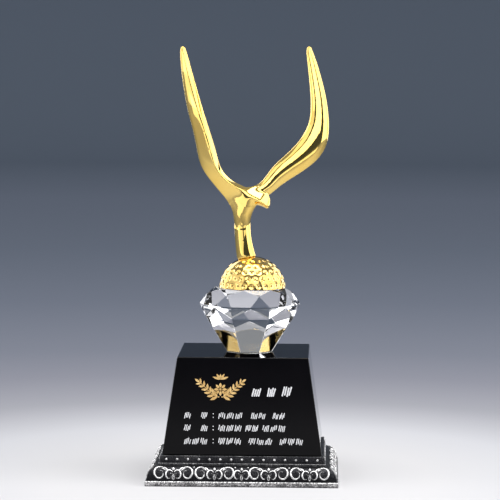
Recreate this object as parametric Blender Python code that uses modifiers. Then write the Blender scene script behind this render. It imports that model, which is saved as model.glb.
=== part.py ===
"""A trophy: a bird with raised wings on half a golf ball, on a cut crystal, a black block and a relief base.

Metres, +Z up, the front towards -Y. The origin is the middle of the base's underside.
"""
from math import copysign, cos, pi, radians, sin, sqrt

import bmesh
import bpy
from mathutils import Matrix, Vector

MM = 0.001
MERGE = 0.00001
PLANE_MERGE = 0.000001

# Joints between pieces
GLUE_GAP = 0.3 * MM

# The cast base
SLAB_LENGTH = 121.6 * MM
SLAB_WIDTH = 101.0 * MM
SLAB_THICKNESS = 3.3 * MM
SLAB_CHAMFER = 0.3 * MM
LEDGE = 1.1 * MM
BAND_REACH = 7.0 * MM
BAND_HEIGHT = 8.9 * MM
BAND_STEPS = 3
FILLET_HEIGHT = 1.5 * MM
FILLET_SETBACK = 1.0 * MM
STRIP_HEIGHT = 4.5 * MM

# The beads on the strip and the scrolls on the band
BEAD_DIAMETER = 2.1 * MM
BEAD_PITCH = 6.7 * MM
BEAD_END_MARGIN = 4.0 * MM
STRAND_DIAMETER = 1.3 * MM
STRAND_SINK = 0.15 * MM
MOTIF_LENGTH = 25.0 * MM
MOTIF_SPREAD = 1.02
LYRE_LENGTH = 8.2 * MM
SCROLL_RADIUS = 4.1 * MM
SCROLL_EYE = 1.2 * MM
SCROLL_PLACE = 0.47
SCROLL_START = radians(55)
SCROLL_SWEEP = radians(400)
CURL_RADIUS = 2.1 * MM
CURL_EYE = 1.05 * MM
CURL_PLACE = 0.38
CURL_START = radians(70)
CURL_SWEEP = radians(340)
EVEN_SHARE = 0.3
LARGE_POINTS = 8
CURL_POINTS = 5
MOTIF_END_SHARE = 0.55
DROP_DIAMETER = 2.0 * MM
DROP_STRETCH = 1.3
DROP_PLACE = 0.72
DOT_DIAMETER = 1.3 * MM
DOT_PLACE = 0.82

# The black block
BLOCK_SETBACK = 1.1 * MM
BLOCK_HEIGHT = 62.0 * MM
BLOCK_TOP_LENGTH = 82.8 * MM
BLOCK_TOP_WIDTH = 76.7 * MM
BLOCK_EDGE = 0.7 * MM

# The cut crystal
CRYSTAL_DIAMETER = 64.4 * MM
CRYSTAL_FOOT_DIAMETER = 31.4 * MM
CRYSTAL_TABLE_DIAMETER = 46.2 * MM
PAVILION_HEIGHT = 29.6 * MM
GIRDLE_HEIGHT = 0.9 * MM
CROWN_HEIGHT = 9.9 * MM
STAR_DEPTH = 3.2 * MM
LOWER_FACET_HEIGHT = 6.5 * MM
CRYSTAL_FOLD = 8
CRYSTAL_TURN = radians(2.5)
CRYSTAL_OFFSET = 3.1 * MM

# The half golf ball
BALL_DIAMETER = 42.7 * MM
BALL_CUT_ABOVE_CENTRE = 1.5 * MM
BALL_OFFSET = 1.6 * MM
BALL_SEGMENTS = 24
DIMPLE_DIAMETER = 3.7 * MM
DIMPLE_DEPTH = 0.7 * MM
DIMPLE_SPACING = 4.75 * MM
DIMPLE_ROW_STEP = radians(13.5)
DIMPLE_ROWS = 5
DIMPLE_SIDES = 5

# The bird: every place and depth below is in steps, 213.5 of them to its height above the foot
FIGURE_HEIGHT = 136.3 * MM
FIGURE_STEPS = 213.5
STEP = FIGURE_HEIGHT / FIGURE_STEPS
FOOT_BELOW_CROWN = 1.2 * MM
FOOT_OFFSET = -0.8 * MM
FIGURE_LEAN = radians(-0.45)
FOOT_LEFT = 19.0
FOOT_RIGHT = 9.0

# Stations: outer edge (x, z), inner edge (x, z), place of the ridge, middle depth, front and back bulge
LEFT_WING_AND_STEM = (
    ((-68.6, 213.4), (-65.9, 213.4), 0.50, -10.0, 1.2, 1.2),
    ((-71.2, 208.0), (-63.6, 208.0), 0.55, -10.0, 2.4, 2.2),
    ((-71.3, 199.3), (-61.4, 199.3), 0.62, -9.5, 3.4, 3.0),
    ((-70.6, 183.9), (-57.3, 184.1), 0.66, -8.8, 4.4, 3.6),
    ((-66.4, 152.6), (-48.5, 152.6), 0.71, -7.0, 5.8, 4.6),
    ((-63.0, 138.5), (-44.2, 138.5), 0.75, -6.1, 6.3, 4.9),
    ((-58.6, 120.5), (-38.5, 120.5), 0.78, -4.8, 7.0, 5.4),
    ((-56.6, 104.5), (-33.8, 104.6), 0.78, -3.6, 7.6, 5.8),
    ((-54.0, 94.0), (-31.8, 94.6), 0.80, -2.8, 8.0, 6.2),
    ((-48.8, 84.5), (-27.6, 86.2), 0.82, -2.0, 8.2, 6.6),
    ((-41.9, 75.5), (-20.0, 78.8), 0.82, -1.4, 8.4, 7.0),
    ((-35.4, 66.6), (-9.8, 73.6), 0.80, -0.8, 8.6, 7.4),
    ((-29.7, 59.2), (0.6, 69.8), 0.78, -0.4, 8.8, 7.6),
    ((-25.7, 53.6), (7.5, 64.6), 0.76, 0.0, 8.8, 7.6),
    ((-23.2, 49.6), (8.2, 57.6), 0.70, 0.0, 8.6, 7.4),
    ((-21.3, 46.0), (6.2, 52.2), 0.62, 0.0, 8.2, 7.2),
    ((-20.1, 42.5), (3.0, 46.8), 0.58, 0.0, 7.8, 7.0),
    ((-19.2, 38.5), (1.2, 41.2), 0.56, 0.0, 7.4, 6.8),
    ((-18.6, 33.0), (0.2, 35.0), 0.55, 0.0, 7.0, 6.6),
    ((-18.0, 21.0), (0.6, 21.0), 0.55, 0.0, 6.8, 6.4),
    ((-16.9, 5.2), (4.6, 5.2), 0.55, 0.0, 7.6, 7.2),
    ((-16.0, -1.0), (7.5, -1.0), 0.55, 0.0, 8.4, 8.0),
    ((-13.0, -9.0), (5.0, -9.0), 0.55, 0.0, 7.0, 7.0),
)
RIGHT_WING = (
    ((59.4, 213.4), (56.6, 213.4), 0.50, 12.0, 1.2, 1.2),
    ((61.9, 207.6), (54.4, 207.6), 0.50, 12.0, 2.2, 2.2),
    ((66.4, 197.5), (55.2, 197.5), 0.48, 11.6, 3.4, 3.2),
    ((70.6, 183.9), (56.4, 183.9), 0.47, 11.0, 4.4, 4.0),
    ((77.2, 160.0), (58.4, 160.0), 0.46, 9.8, 5.7, 4.9),
    ((79.9, 136.4), (57.6, 140.4), 0.47, 8.6, 6.6, 5.6),
    ((79.6, 124.0), (53.8, 131.5), 0.48, 7.8, 7.0, 6.0),
    ((78.2, 112.4), (48.6, 122.0), 0.50, 7.0, 7.2, 6.2),
    ((72.6, 101.8), (41.6, 113.6), 0.51, 6.2, 7.2, 6.2),
    ((63.2, 92.6), (33.4, 105.6), 0.52, 5.4, 7.0, 6.0),
    ((52.4, 85.0), (26.2, 99.4), 0.53, 4.6, 6.6, 5.8),
    ((41.4, 78.6), (18.6, 91.4), 0.54, 3.8, 6.2, 5.6),
    ((30.2, 71.6), (13.2, 82.6), 0.55, 3.0, 5.8, 5.4),
    ((21.8, 64.0), (7.2, 75.4), 0.52, 2.0, 5.8, 5.2),
    ((12.0, 58.0), (-2.6, 72.6), 0.50, 1.4, 5.4, 5.0),
    ((-6.0, 57.0), (-13.4, 73.0), 0.50, 0.8, 4.2, 4.6),
    ((-20.0, 66.0), (-22.5, 77.0), 0.50, 0.4, 2.6, 3.2),
)
HEAD_AND_BEAK = (
    ((-17.0, 66.0), (-10.8, 74.4), 0.70, -1.5, 6.3, 5.0),
    ((-8.0, 59.8), (-0.2, 70.4), 0.64, -1.5, 7.4, 5.6),
    ((0.5, 56.4), (6.4, 67.8), 0.48, -1.5, 8.0, 5.6),
    ((6.2, 54.8), (13.2, 64.2), 0.30, -1.8, 7.8, 5.4),
    ((11.4, 53.0), (18.6, 61.6), 0.24, -2.2, 7.0, 4.6),
    ((14.8, 50.4), (22.2, 57.4), 0.26, -2.6, 5.2, 3.2),
    ((16.8, 48.2), (20.4, 50.8), 0.40, -3.0, 2.2, 1.6),
)

# Points round a section: share of the way from the outer edge, share of a bulge, ridged or not
BLADE_SECTION = (
    (0.0, 0.0, False), (0.52, -0.62, False), (1.0, -1.0, True), (1.52, -0.52, False),
    (2.0, 0.05, True), (1.5, 0.8, False), (0.95, 1.0, False), (0.4, 0.72, False),
)
WING_SECTION = (
    (0.0, 0.0, False), (0.44, -0.75, True), (1.0, -1.0, False), (1.62, -0.8, True),
    (2.0, 0.1, False), (1.5, 0.8, False), (0.95, 1.0, False), (0.4, 0.72, False),
)
ROUND_SECTION = (
    (0.0, 0.0, False), (0.36, -0.82, False), (1.0, -1.0, False), (1.62, -0.8, False),
    (2.0, 0.0, False), (1.6, 0.82, False), (1.0, 1.0, False), (0.38, 0.82, False),
)
STEM_STATIONS = 10
SUBDIVISION_LEVELS = 1
RIDGE_CREASE = 0.6


def clear_scene():
    """Removes whatever the scene holds."""
    for item in list(bpy.data.objects):
        bpy.data.objects.remove(item, do_unlink=True)


def new_collection(name):
    """A collection of its own under the scene."""
    made = bpy.data.collections.new(name)
    bpy.context.scene.collection.children.link(made)
    return made


def new_material(name, colour, roughness, metallic, transmission=0.0):
    """A Principled material with plain values."""
    made = bpy.data.materials.new(name)
    made.use_nodes = True
    shader = made.node_tree.nodes["Principled BSDF"]
    shader.inputs["Base Color"].default_value = (*colour, 1.0)
    shader.inputs["Roughness"].default_value = roughness
    shader.inputs["Metallic"].default_value = metallic
    shader.inputs["Transmission Weight"].default_value = transmission
    return made


def new_object(shape, name, collection, material=None):
    """Turns a bmesh into a named object and frees the bmesh."""
    mesh = bpy.data.meshes.new(name)
    shape.to_mesh(mesh)
    shape.free()
    made = bpy.data.objects.new(name, mesh)
    collection.objects.link(made)
    if material:
        mesh.materials.append(material)
    return made


def mark_as_helper(helper):
    """A cutter or an operand: shown as wire and left out of renders."""
    helper.hide_render = True
    helper.display_type = "WIRE"


def add_boolean(target, operand, operation):
    """Joins or cuts a piece with another object."""
    change = target.modifiers.new(operation.title(), "BOOLEAN")
    change.operation = operation
    change.object = operand
    change.solver = "EXACT"


def raise_face(shape, face):
    """Extrudes one face and returns the new one."""
    geometry = [face] + face.edges[:] + face.verts[:]
    raised = bmesh.ops.extrude_face_region(shape, geom=geometry)["geom"]
    return next(item for item in raised if isinstance(item, bmesh.types.BMFace))


def stacked_rectangles(levels):
    """A solid with a rectangular plan.

    levels is a list of (height, half length, half width), from the bottom up.
    """
    shape = bmesh.new()
    bmesh.ops.create_grid(shape, x_segments=1, y_segments=1, size=1.0)
    height, half_length, half_width = levels[0]
    for vert in shape.verts:
        vert.co = (vert.co.x * half_length, vert.co.y * half_width, height)
    top = list(shape.faces)[0]
    for height, half_length, half_width in levels[1:]:
        top = raise_face(shape, top)
        for vert in top.verts:
            vert.co = (copysign(half_length, vert.co.x), copysign(half_width, vert.co.y), height)
    bmesh.ops.recalc_face_normals(shape, faces=shape.faces[:])
    return shape


def loft(rings):
    """A closed tube through rings of points, with a face at each end."""
    shape = bmesh.new()
    made = [[shape.verts.new(point) for point in ring] for ring in rings]
    count = len(rings[0])
    for lower, upper in zip(made, made[1:]):
        for index in range(count):
            after = (index + 1) % count
            shape.faces.new((lower[index], lower[after], upper[after], upper[index]))
    shape.faces.new(made[0])
    shape.faces.new(made[-1])
    bmesh.ops.recalc_face_normals(shape, faces=shape.faces[:])
    return shape


# Heights that follow from the sizes

BAND_FOOT = SLAB_THICKNESS
BAND_TOP = BAND_FOOT + BAND_HEIGHT
FILLET_TOP = BAND_TOP + FILLET_HEIGHT
BASE_TOP = FILLET_TOP + STRIP_HEIGHT
BAND_INSET = LEDGE + BAND_REACH
MOTIF_END = LEDGE + BAND_REACH * MOTIF_END_SHARE
STRIP_INSET = BAND_INSET + FILLET_SETBACK
BLOCK_INSET = STRIP_INSET + BLOCK_SETBACK
BLOCK_BOTTOM = BASE_TOP + GLUE_GAP
BLOCK_TOP = BLOCK_BOTTOM + BLOCK_HEIGHT
CRYSTAL_BOTTOM = BLOCK_TOP + GLUE_GAP
GIRDLE_BOTTOM = CRYSTAL_BOTTOM + PAVILION_HEIGHT
GIRDLE_TOP = GIRDLE_BOTTOM + GIRDLE_HEIGHT
CRYSTAL_TABLE = GIRDLE_TOP + CROWN_HEIGHT
BALL_RADIUS = BALL_DIAMETER / 2
BALL_BOTTOM = CRYSTAL_TABLE + GLUE_GAP
BALL_CENTRE = Vector((CRYSTAL_OFFSET + BALL_OFFSET, 0.0, BALL_BOTTOM - BALL_CUT_ABOVE_CENTRE))
FOOT = BALL_CENTRE + Vector((FOOT_OFFSET, 0.0, BALL_RADIUS - FOOT_BELOW_CROWN))


def band_profile(share):
    """Inset from the slab's side and height of the convex band: share is 0 at its foot and 1 on top."""
    angle = share * pi / 2
    inset = LEDGE + BAND_REACH * (1 - cos(angle))
    height = BAND_FOOT + BAND_HEIGHT * sin(angle)
    return inset, height


def side_frames():
    """The four sides of the base: direction along, direction out, half length along, reach out."""
    half_length = SLAB_LENGTH / 2
    half_width = SLAB_WIDTH / 2
    for quarter in range(4):
        turn = Matrix.Rotation(quarter * pi / 2, 3, "Z")
        along = turn @ Vector((1.0, 0.0, 0.0))
        out = turn @ Vector((0.0, -1.0, 0.0))
        if quarter % 2 == 0:
            yield along, out, half_length, half_width
        else:
            yield along, out, half_width, half_length


def on_band(frame, run, share):
    """A point of the band: run is the distance along the side from its middle."""
    along, out, _, reach = frame
    inset, height = band_profile(share)
    return along * run + out * (reach - inset - STRAND_SINK) + Vector((0.0, 0.0, height - STRAND_SINK))


def band_arc_length():
    """Length of the band's rounded section, from its foot to its top."""
    pieces = 12
    points = [band_profile(index / pieces) for index in range(pieces + 1)]
    steps = zip(points, points[1:])
    return sum(sqrt((b[0] - a[0]) ** 2 + (b[1] - a[1]) ** 2) for a, b in steps)


def spiral(centre_run, centre_share, radius, eye, start, sweep, points, hand):
    """Run and share of points on a scroll that winds in to its eye; hand is 1 or -1 for its mirror image.

    The first EVEN_SHARE of it is an even arc.
    """
    arc = band_arc_length()
    path = []
    for index in range(points):
        part = index / (points - 1)
        angle = start + sweep * part
        wound = max(0.0, part - EVEN_SHARE) / (1.0 - EVEN_SHARE)
        reach = radius + (eye - radius) * wound
        path.append((centre_run + hand * reach * cos(angle), centre_share + reach * sin(angle) / arc))
    return path


def large_scroll(centre, hand, fit):
    """The large scroll of one half of a motif about centre."""
    place = centre + hand * (SCROLL_RADIUS - MOTIF_LENGTH / 2) * fit
    return spiral(
        place, SCROLL_PLACE, SCROLL_RADIUS, SCROLL_EYE, SCROLL_START, SCROLL_SWEEP, LARGE_POINTS, hand
    )


def small_curl(centre, hand):
    """One curl of the lyre about centre."""
    place = centre - hand * CURL_RADIUS
    return spiral(place, CURL_PLACE, CURL_RADIUS, CURL_EYE, CURL_START, CURL_SWEEP, CURL_POINTS, hand)


def motif_centres(half_run):
    """Middles of the scroll motifs on one side, in pairs about the lyre in the middle."""
    room = half_run - LYRE_LENGTH / 2
    pairs = max(1, round(room / MOTIF_LENGTH))
    pitch = min(room / pairs, MOTIF_LENGTH * MOTIF_SPREAD)
    centres = []
    for index in range(pairs):
        place = LYRE_LENGTH / 2 + pitch * (index + 0.5)
        centres.extend((place, -place))
    return centres, pitch


def scroll_paths(frame, hand, large):
    """Every strand of one kind and hand on one side, so that none of them crosses another.

    The sides and the back are plainer: they have the large scrolls alone.
    """
    centres, pitch = motif_centres(frame[2] - MOTIF_END)
    fit = pitch / (MOTIF_LENGTH * MOTIF_SPREAD)
    if large:
        return [large_scroll(centre, hand, fit) for centre in centres]
    front = frame[1].y < -abs(frame[1].x)
    return [small_curl(centre, hand) for centre in centres + [0.0]] if front else []


def strand_mesh(name, hand, large, collection):
    """The strands of one kind and hand on all four sides, as a mesh."""
    data = bpy.data.curves.new(name, "CURVE")
    data.dimensions = "3D"
    data.bevel_depth = STRAND_DIAMETER / 2
    data.bevel_resolution = 0
    data.use_fill_caps = True
    for frame in side_frames():
        for path in scroll_paths(frame, hand, large):
            spline = data.splines.new("POLY")
            spline.points.add(len(path) - 1)
            for point, (run, share) in zip(spline.points, path):
                point.co = (*on_band(frame, run, share), 1.0)
    curve = bpy.data.objects.new(name, data)
    collection.objects.link(curve)
    depsgraph = bpy.context.evaluated_depsgraph_get()
    mesh = bpy.data.meshes.new_from_object(curve.evaluated_get(depsgraph))
    place = curve.matrix_world.copy()
    bpy.data.objects.remove(curve, do_unlink=True)
    shape = bmesh.new()
    shape.from_mesh(mesh)
    bmesh.ops.remove_doubles(shape, verts=shape.verts[:], dist=MERGE)
    bmesh.ops.recalc_face_normals(shape, faces=shape.faces[:])
    strands = new_object(shape, name, collection)
    strands.matrix_world = place
    return strands


def add_bead(shape, place, diameter, stretch=1.0):
    """A faceted bead, stretched upwards for a drop."""
    scale = Matrix.Diagonal((1.0, 1.0, stretch, 1.0))
    bmesh.ops.create_icosphere(
        shape, subdivisions=1, radius=diameter / 2, matrix=Matrix.Translation(place) @ scale
    )


def beads(collection):
    """The row of beads on the strip, and the drops and dots of the band."""
    shape = bmesh.new()
    strip_middle = FILLET_TOP + STRIP_HEIGHT / 2
    for frame in side_frames():
        along, out, half_run, reach = frame
        room = 2 * (half_run - STRIP_INSET - BEAD_END_MARGIN)
        count = round(room / BEAD_PITCH) + 1
        pitch = room / (count - 1)
        row_middle = out * (reach - STRIP_INSET) + Vector((0.0, 0.0, strip_middle))
        for index in range(count):
            run = index * pitch - room / 2
            add_bead(shape, along * run + row_middle, BEAD_DIAMETER)
        centres, motif_pitch = motif_centres(half_run - MOTIF_END)
        for centre in centres + [0.0]:
            add_bead(shape, on_band(frame, centre, DROP_PLACE), DROP_DIAMETER, DROP_STRETCH)
        if len(centres) > 2:
            for hand in (1, -1):
                place = hand * (LYRE_LENGTH / 2 + motif_pitch)
                add_bead(shape, on_band(frame, place, DOT_PLACE), DOT_DIAMETER)
    return new_object(shape, "beads_and_drops", collection)


def cast_base(parts, helpers):
    """The moulded base with its beads and scrolls fused on."""
    half_length = SLAB_LENGTH / 2
    half_width = SLAB_WIDTH / 2
    insets = [
        (0.0, SLAB_CHAMFER),
        (SLAB_CHAMFER, 0.0),
        (SLAB_THICKNESS - SLAB_CHAMFER, 0.0),
        (SLAB_THICKNESS, SLAB_CHAMFER),
    ]
    for index in range(BAND_STEPS + 1):
        inset, height = band_profile(index / BAND_STEPS)
        insets.append((height, inset))
    insets.append((FILLET_TOP, BAND_INSET))
    insets.append((FILLET_TOP, STRIP_INSET))
    insets.append((BASE_TOP, STRIP_INSET))
    levels = [(height, half_length - inset, half_width - inset) for height, inset in insets]
    silver = new_material("antique_silver", (0.36, 0.36, 0.37), 0.32, 1.0)
    base = new_object(stacked_rectangles(levels), "cast_base", parts, silver)
    relief = [beads(helpers)]
    for size in ("large", "small"):
        for side, hand in (("right", 1), ("left", -1)):
            relief.append(strand_mesh(f"{size}_scrolls_{side}", hand, size == "large", helpers))
    for operand in relief:
        mark_as_helper(operand)
        add_boolean(base, operand, "UNION")
    return base


def black_block(parts):
    """The block with four sloping sides and fine bevelled edges."""
    levels = [
        (BLOCK_BOTTOM, SLAB_LENGTH / 2 - BLOCK_INSET, SLAB_WIDTH / 2 - BLOCK_INSET),
        (BLOCK_TOP, BLOCK_TOP_LENGTH / 2, BLOCK_TOP_WIDTH / 2),
    ]
    glass = new_material("black_glass", (0.006, 0.006, 0.008), 0.05, 0.0)
    block = new_object(stacked_rectangles(levels), "black_block", parts, glass)
    edges = block.modifiers.new("Edges", "BEVEL")
    edges.width = BLOCK_EDGE
    edges.segments = 2
    edges.limit_method = "ANGLE"
    return block


def cut_facet(shape, turn, near, far):
    """Cuts one facet off a stone.

    turn is the way it faces, near and far are two (distance from the axis, height) pairs on it.
    """
    rise = far[1] - near[1]
    run = far[0] - near[0]
    normal = Vector((rise, 0.0, -run)).normalized()
    if normal.x < 0:
        normal.negate()
    around = Matrix.Rotation(turn, 3, "Z")
    point = around @ Vector((near[0], 0.0, near[1]))
    geometry = shape.verts[:] + shape.edges[:] + shape.faces[:]
    bmesh.ops.bisect_plane(
        shape, geom=geometry, dist=PLANE_MERGE, plane_co=point, plane_no=around @ normal, clear_outer=True
    )
    rim = [edge for edge in shape.edges if edge.is_boundary]
    if rim:
        bmesh.ops.holes_fill(shape, edges=rim, sides=0)


def crystal_diamond(parts):
    """A brilliant cut: table, star, kite and upper facets, a thin girdle, and a pavilion cut off flat."""
    radius = CRYSTAL_DIAMETER / 2
    fold = 2 * pi / CRYSTAL_FOLD
    eighth = cos(fold / 2)
    sixteenth = cos(fold / 4)
    shape = bmesh.new()
    bmesh.ops.create_cone(
        shape, cap_ends=True, segments=2 * CRYSTAL_FOLD, radius1=radius, radius2=radius,
        depth=CRYSTAL_TABLE - CRYSTAL_BOTTOM,
        matrix=Matrix.Translation((0.0, 0.0, (CRYSTAL_TABLE + CRYSTAL_BOTTOM) / 2)),
    )
    table = CRYSTAL_TABLE_DIAMETER / 2
    girdle_flat = radius * sixteenth
    kite_slope = (girdle_flat - table) / CROWN_HEIGHT
    point_height = CRYSTAL_TABLE - STAR_DEPTH
    point = (table + kite_slope * STAR_DEPTH) / eighth
    foot_flat = CRYSTAL_FOOT_DIAMETER / 2 * eighth
    main_slope = (radius - foot_flat) / PAVILION_HEIGHT
    meeting = (radius - main_slope * LOWER_FACET_HEIGHT) / eighth * sixteenth
    for index in range(CRYSTAL_FOLD):
        turn = index * fold
        cut_facet(shape, turn, (foot_flat, CRYSTAL_BOTTOM), (radius, GIRDLE_BOTTOM))
        for lean in (-1, 1):
            facing = turn + lean * fold / 4
            lower_point = (meeting, GIRDLE_BOTTOM - LOWER_FACET_HEIGHT)
            cut_facet(shape, facing, lower_point, (girdle_flat, GIRDLE_BOTTOM))
        cut_facet(shape, turn - fold / 4, (girdle_flat, GIRDLE_TOP), (table, CRYSTAL_TABLE))
        cut_facet(shape, turn + fold / 4, (girdle_flat, GIRDLE_TOP), (point, point_height))
        cut_facet(shape, turn + fold / 4, (point, point_height), (table * eighth, CRYSTAL_TABLE))
    bmesh.ops.remove_doubles(shape, verts=shape.verts[:], dist=2 * MERGE)
    bmesh.ops.recalc_face_normals(shape, faces=shape.faces[:])
    place = Matrix.Translation((CRYSTAL_OFFSET, 0.0, 0.0)) @ Matrix.Rotation(CRYSTAL_TURN, 4, "Z")
    bmesh.ops.transform(shape, matrix=place, verts=shape.verts[:])
    clear = new_material("clear_crystal", (0.98, 0.99, 1.0), 0.0, 0.0, 1.0)
    return new_object(shape, "crystal_diamond", parts, clear)


def add_ball(shape, radius):
    """A ball of this radius where the golf ball lies."""
    bmesh.ops.create_uvsphere(
        shape, u_segments=BALL_SEGMENTS, v_segments=BALL_SEGMENTS // 2, radius=radius,
        matrix=Matrix.Translation(BALL_CENTRE),
    )


def under_the_foot(direction):
    """Whether a dimple at this direction from the ball's centre would lie under the bird's foot."""
    across = direction.x * BALL_RADIUS
    depth = direction.y * BALL_RADIUS
    margin = DIMPLE_DIAMETER / 2
    left = -FOOT_LEFT * STEP - margin
    right = FOOT_RIGHT * STEP + margin
    return left < across < right and abs(depth) < FOOT_RIGHT * STEP + margin


def dimple_cutters(collection):
    """One shallow five-sided pit for each dimple, in rows about the ball."""
    shape = bmesh.new()
    for row in range(1, DIMPLE_ROWS + 1):
        rise = row * DIMPLE_ROW_STEP
        count = int(2 * pi * BALL_RADIUS * cos(rise) / DIMPLE_SPACING)
        for index in range(count):
            around = (index + 0.5 * (row % 2)) * 2 * pi / count
            direction = Vector((cos(rise) * sin(around), -cos(rise) * cos(around), sin(rise)))
            if under_the_foot(direction):
                continue
            turn = direction.to_track_quat("-Z", "Y").to_matrix().to_4x4()
            place = Matrix.Translation(BALL_CENTRE + direction * (BALL_RADIUS - DIMPLE_DEPTH / 2))
            pit = bmesh.ops.create_cone(
                shape, cap_ends=True, segments=DIMPLE_SIDES, radius1=DIMPLE_DIAMETER / 2, radius2=0.0,
                depth=DIMPLE_DEPTH, matrix=place @ turn,
            )["verts"]
            faces = {face for vert in pit for face in vert.link_faces}
            mouth = max(faces, key=lambda face: len(face.verts))
            lifted = raise_face(shape, mouth).verts[:]
            bmesh.ops.translate(shape, verts=lifted, vec=direction * DIMPLE_DEPTH)
    bmesh.ops.recalc_face_normals(shape, faces=shape.faces[:])
    return new_object(shape, "dimple_pits", collection)


def golf_ball_dome(parts, helpers, gold):
    """The upper part of a golf ball, cut flat just above its middle."""
    shape = bmesh.new()
    add_ball(shape, BALL_RADIUS)
    geometry = shape.verts[:] + shape.edges[:] + shape.faces[:]
    bmesh.ops.bisect_plane(
        shape, geom=geometry, plane_co=(0.0, 0.0, BALL_BOTTOM), plane_no=(0.0, 0.0, -1.0), clear_outer=True
    )
    rim = [edge for edge in shape.edges if edge.is_boundary]
    bmesh.ops.holes_fill(shape, edges=rim, sides=0)
    dome = new_object(shape, "golf_ball_dome", parts, gold)
    pits = dimple_cutters(helpers)
    mark_as_helper(pits)
    add_boolean(dome, pits, "DIFFERENCE")
    return dome


def section_points(station, section):
    """The points round one section of the bird."""
    outer, inner, ridge, middle, front, back = station
    lean = Matrix.Rotation(FIGURE_LEAN, 3, "Y")
    points = []
    for place, bulge, _ in section:
        if place <= 1.0:
            share = place * ridge
        else:
            share = ridge + (place - 1.0) * (1.0 - ridge)
        depth = middle + bulge * (front if bulge < 0 else back)
        across = outer[0] + (inner[0] - outer[0]) * share
        rise = outer[1] + (inner[1] - outer[1]) * share
        points.append(FOOT + lean @ Vector((across, depth, rise)) * STEP)
    return points


def bird_limb(name, stations, section, collection, material=None, stem_stations=0):
    """One limb of the bird: a cage through its stations, creased along its ridges."""
    plain = len(stations) - stem_stations
    rings = []
    for index, station in enumerate(stations):
        rings.append(section_points(station, section if index < plain else ROUND_SECTION))
    shape = loft(rings)
    crease = shape.edges.layers.float.new("crease_edge")
    count = len(section)
    shape.verts.ensure_lookup_table()
    for station in range(plain - 1):
        for point, (_, _, ridged) in enumerate(section):
            near = shape.verts[station * count + point]
            far = shape.verts[(station + 1) * count + point]
            shape.edges.get((near, far))[crease] = RIDGE_CREASE if ridged else 0.0
    limb = new_object(shape, name, collection, material)
    smooth = limb.modifiers.new("Smooth", "SUBSURF")
    smooth.levels = SUBDIVISION_LEVELS
    smooth.render_levels = SUBDIVISION_LEVELS
    return limb


def eagle_figure(parts, helpers, gold):
    """The bird: the left wing runs down into body and stem, the right wing and the head are fused on."""
    figure = bird_limb("eagle_figure", LEFT_WING_AND_STEM, BLADE_SECTION, parts, gold, STEM_STATIONS)
    wing = bird_limb("right_wing", RIGHT_WING, WING_SECTION, helpers)
    head = bird_limb("head_and_beak", HEAD_AND_BEAK, BLADE_SECTION, helpers)
    seat = bmesh.new()
    add_ball(seat, BALL_RADIUS + GLUE_GAP)
    ball = new_object(seat, "seat_on_ball", helpers)
    for operand, operation in ((wing, "UNION"), (head, "UNION"), (ball, "DIFFERENCE")):
        mark_as_helper(operand)
        add_boolean(figure, operand, operation)
    return figure


def build_trophy():
    """Builds every piece."""
    clear_scene()
    parts = new_collection("trophy")
    helpers = new_collection("helpers")
    gold = new_material("polished_gold", (0.90, 0.64, 0.24), 0.08, 1.0)
    ball_gold = new_material("ball_gold", (0.90, 0.64, 0.24), 0.14, 1.0)
    cast_base(parts, helpers)
    black_block(parts)
    crystal_diamond(parts)
    golf_ball_dome(parts, helpers, ball_gold)
    eagle_figure(parts, helpers, gold)


build_trophy()
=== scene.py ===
"""Looks of a trophy: a gilt bird on half a golf ball, on a cut crystal, a black glass block and a cast base.

Metres, +Z up, the front towards -Y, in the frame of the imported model.
"""

import logging
import random
from dataclasses import dataclass, field
from enum import Enum
from math import atan2, copysign, cos, hypot, pi, radians, sin, tau

import bmesh
import bpy
from bmesh.types import BMesh, BMFace
from mathutils import Matrix, Vector
from mathutils.kdtree import KDTree


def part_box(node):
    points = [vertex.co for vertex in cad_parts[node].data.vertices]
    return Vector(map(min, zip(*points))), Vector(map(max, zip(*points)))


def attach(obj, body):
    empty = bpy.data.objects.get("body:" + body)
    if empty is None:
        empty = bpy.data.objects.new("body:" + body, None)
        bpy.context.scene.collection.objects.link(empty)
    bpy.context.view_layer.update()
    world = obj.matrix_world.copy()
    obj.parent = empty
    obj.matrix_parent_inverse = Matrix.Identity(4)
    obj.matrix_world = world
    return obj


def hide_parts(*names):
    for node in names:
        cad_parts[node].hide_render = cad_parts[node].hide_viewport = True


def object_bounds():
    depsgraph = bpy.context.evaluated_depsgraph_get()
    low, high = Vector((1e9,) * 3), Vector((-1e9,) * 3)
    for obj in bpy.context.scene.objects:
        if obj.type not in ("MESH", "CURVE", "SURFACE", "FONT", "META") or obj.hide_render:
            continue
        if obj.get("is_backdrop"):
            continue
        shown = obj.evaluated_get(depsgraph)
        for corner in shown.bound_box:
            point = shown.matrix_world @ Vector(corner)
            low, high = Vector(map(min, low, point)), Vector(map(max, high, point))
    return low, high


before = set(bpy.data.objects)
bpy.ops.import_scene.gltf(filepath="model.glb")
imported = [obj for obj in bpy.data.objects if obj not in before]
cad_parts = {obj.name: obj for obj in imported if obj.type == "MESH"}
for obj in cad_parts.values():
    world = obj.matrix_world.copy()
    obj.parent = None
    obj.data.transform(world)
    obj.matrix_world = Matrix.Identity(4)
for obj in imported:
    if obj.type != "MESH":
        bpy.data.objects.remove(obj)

logging.basicConfig(level=logging.INFO, format="%(name)s: %(message)s")
LOG = logging.getLogger("trophy")

MM = 0.001
MERGE = 0.001 * MM
BALL_RADIUS = 42.7 * MM / 2
Colour = tuple[float, float, float]
Station = tuple[tuple[float, float], tuple[float, float], float, float, float, float]
Section = tuple[tuple[float, float, float], ...]
Path = tuple[tuple[float, float, float], ...]
# Noise is read between these values; scratches are drawn out along Z; clouds count for less than scratches
NOISE_BAND = (0.3, 0.7)
SCRATCH_BAND = (0.62, 0.72)
SCRATCH_STRETCH = (1.0, 1.0, 0.08)
CLOUD_DEPTH = 0.4


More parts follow.
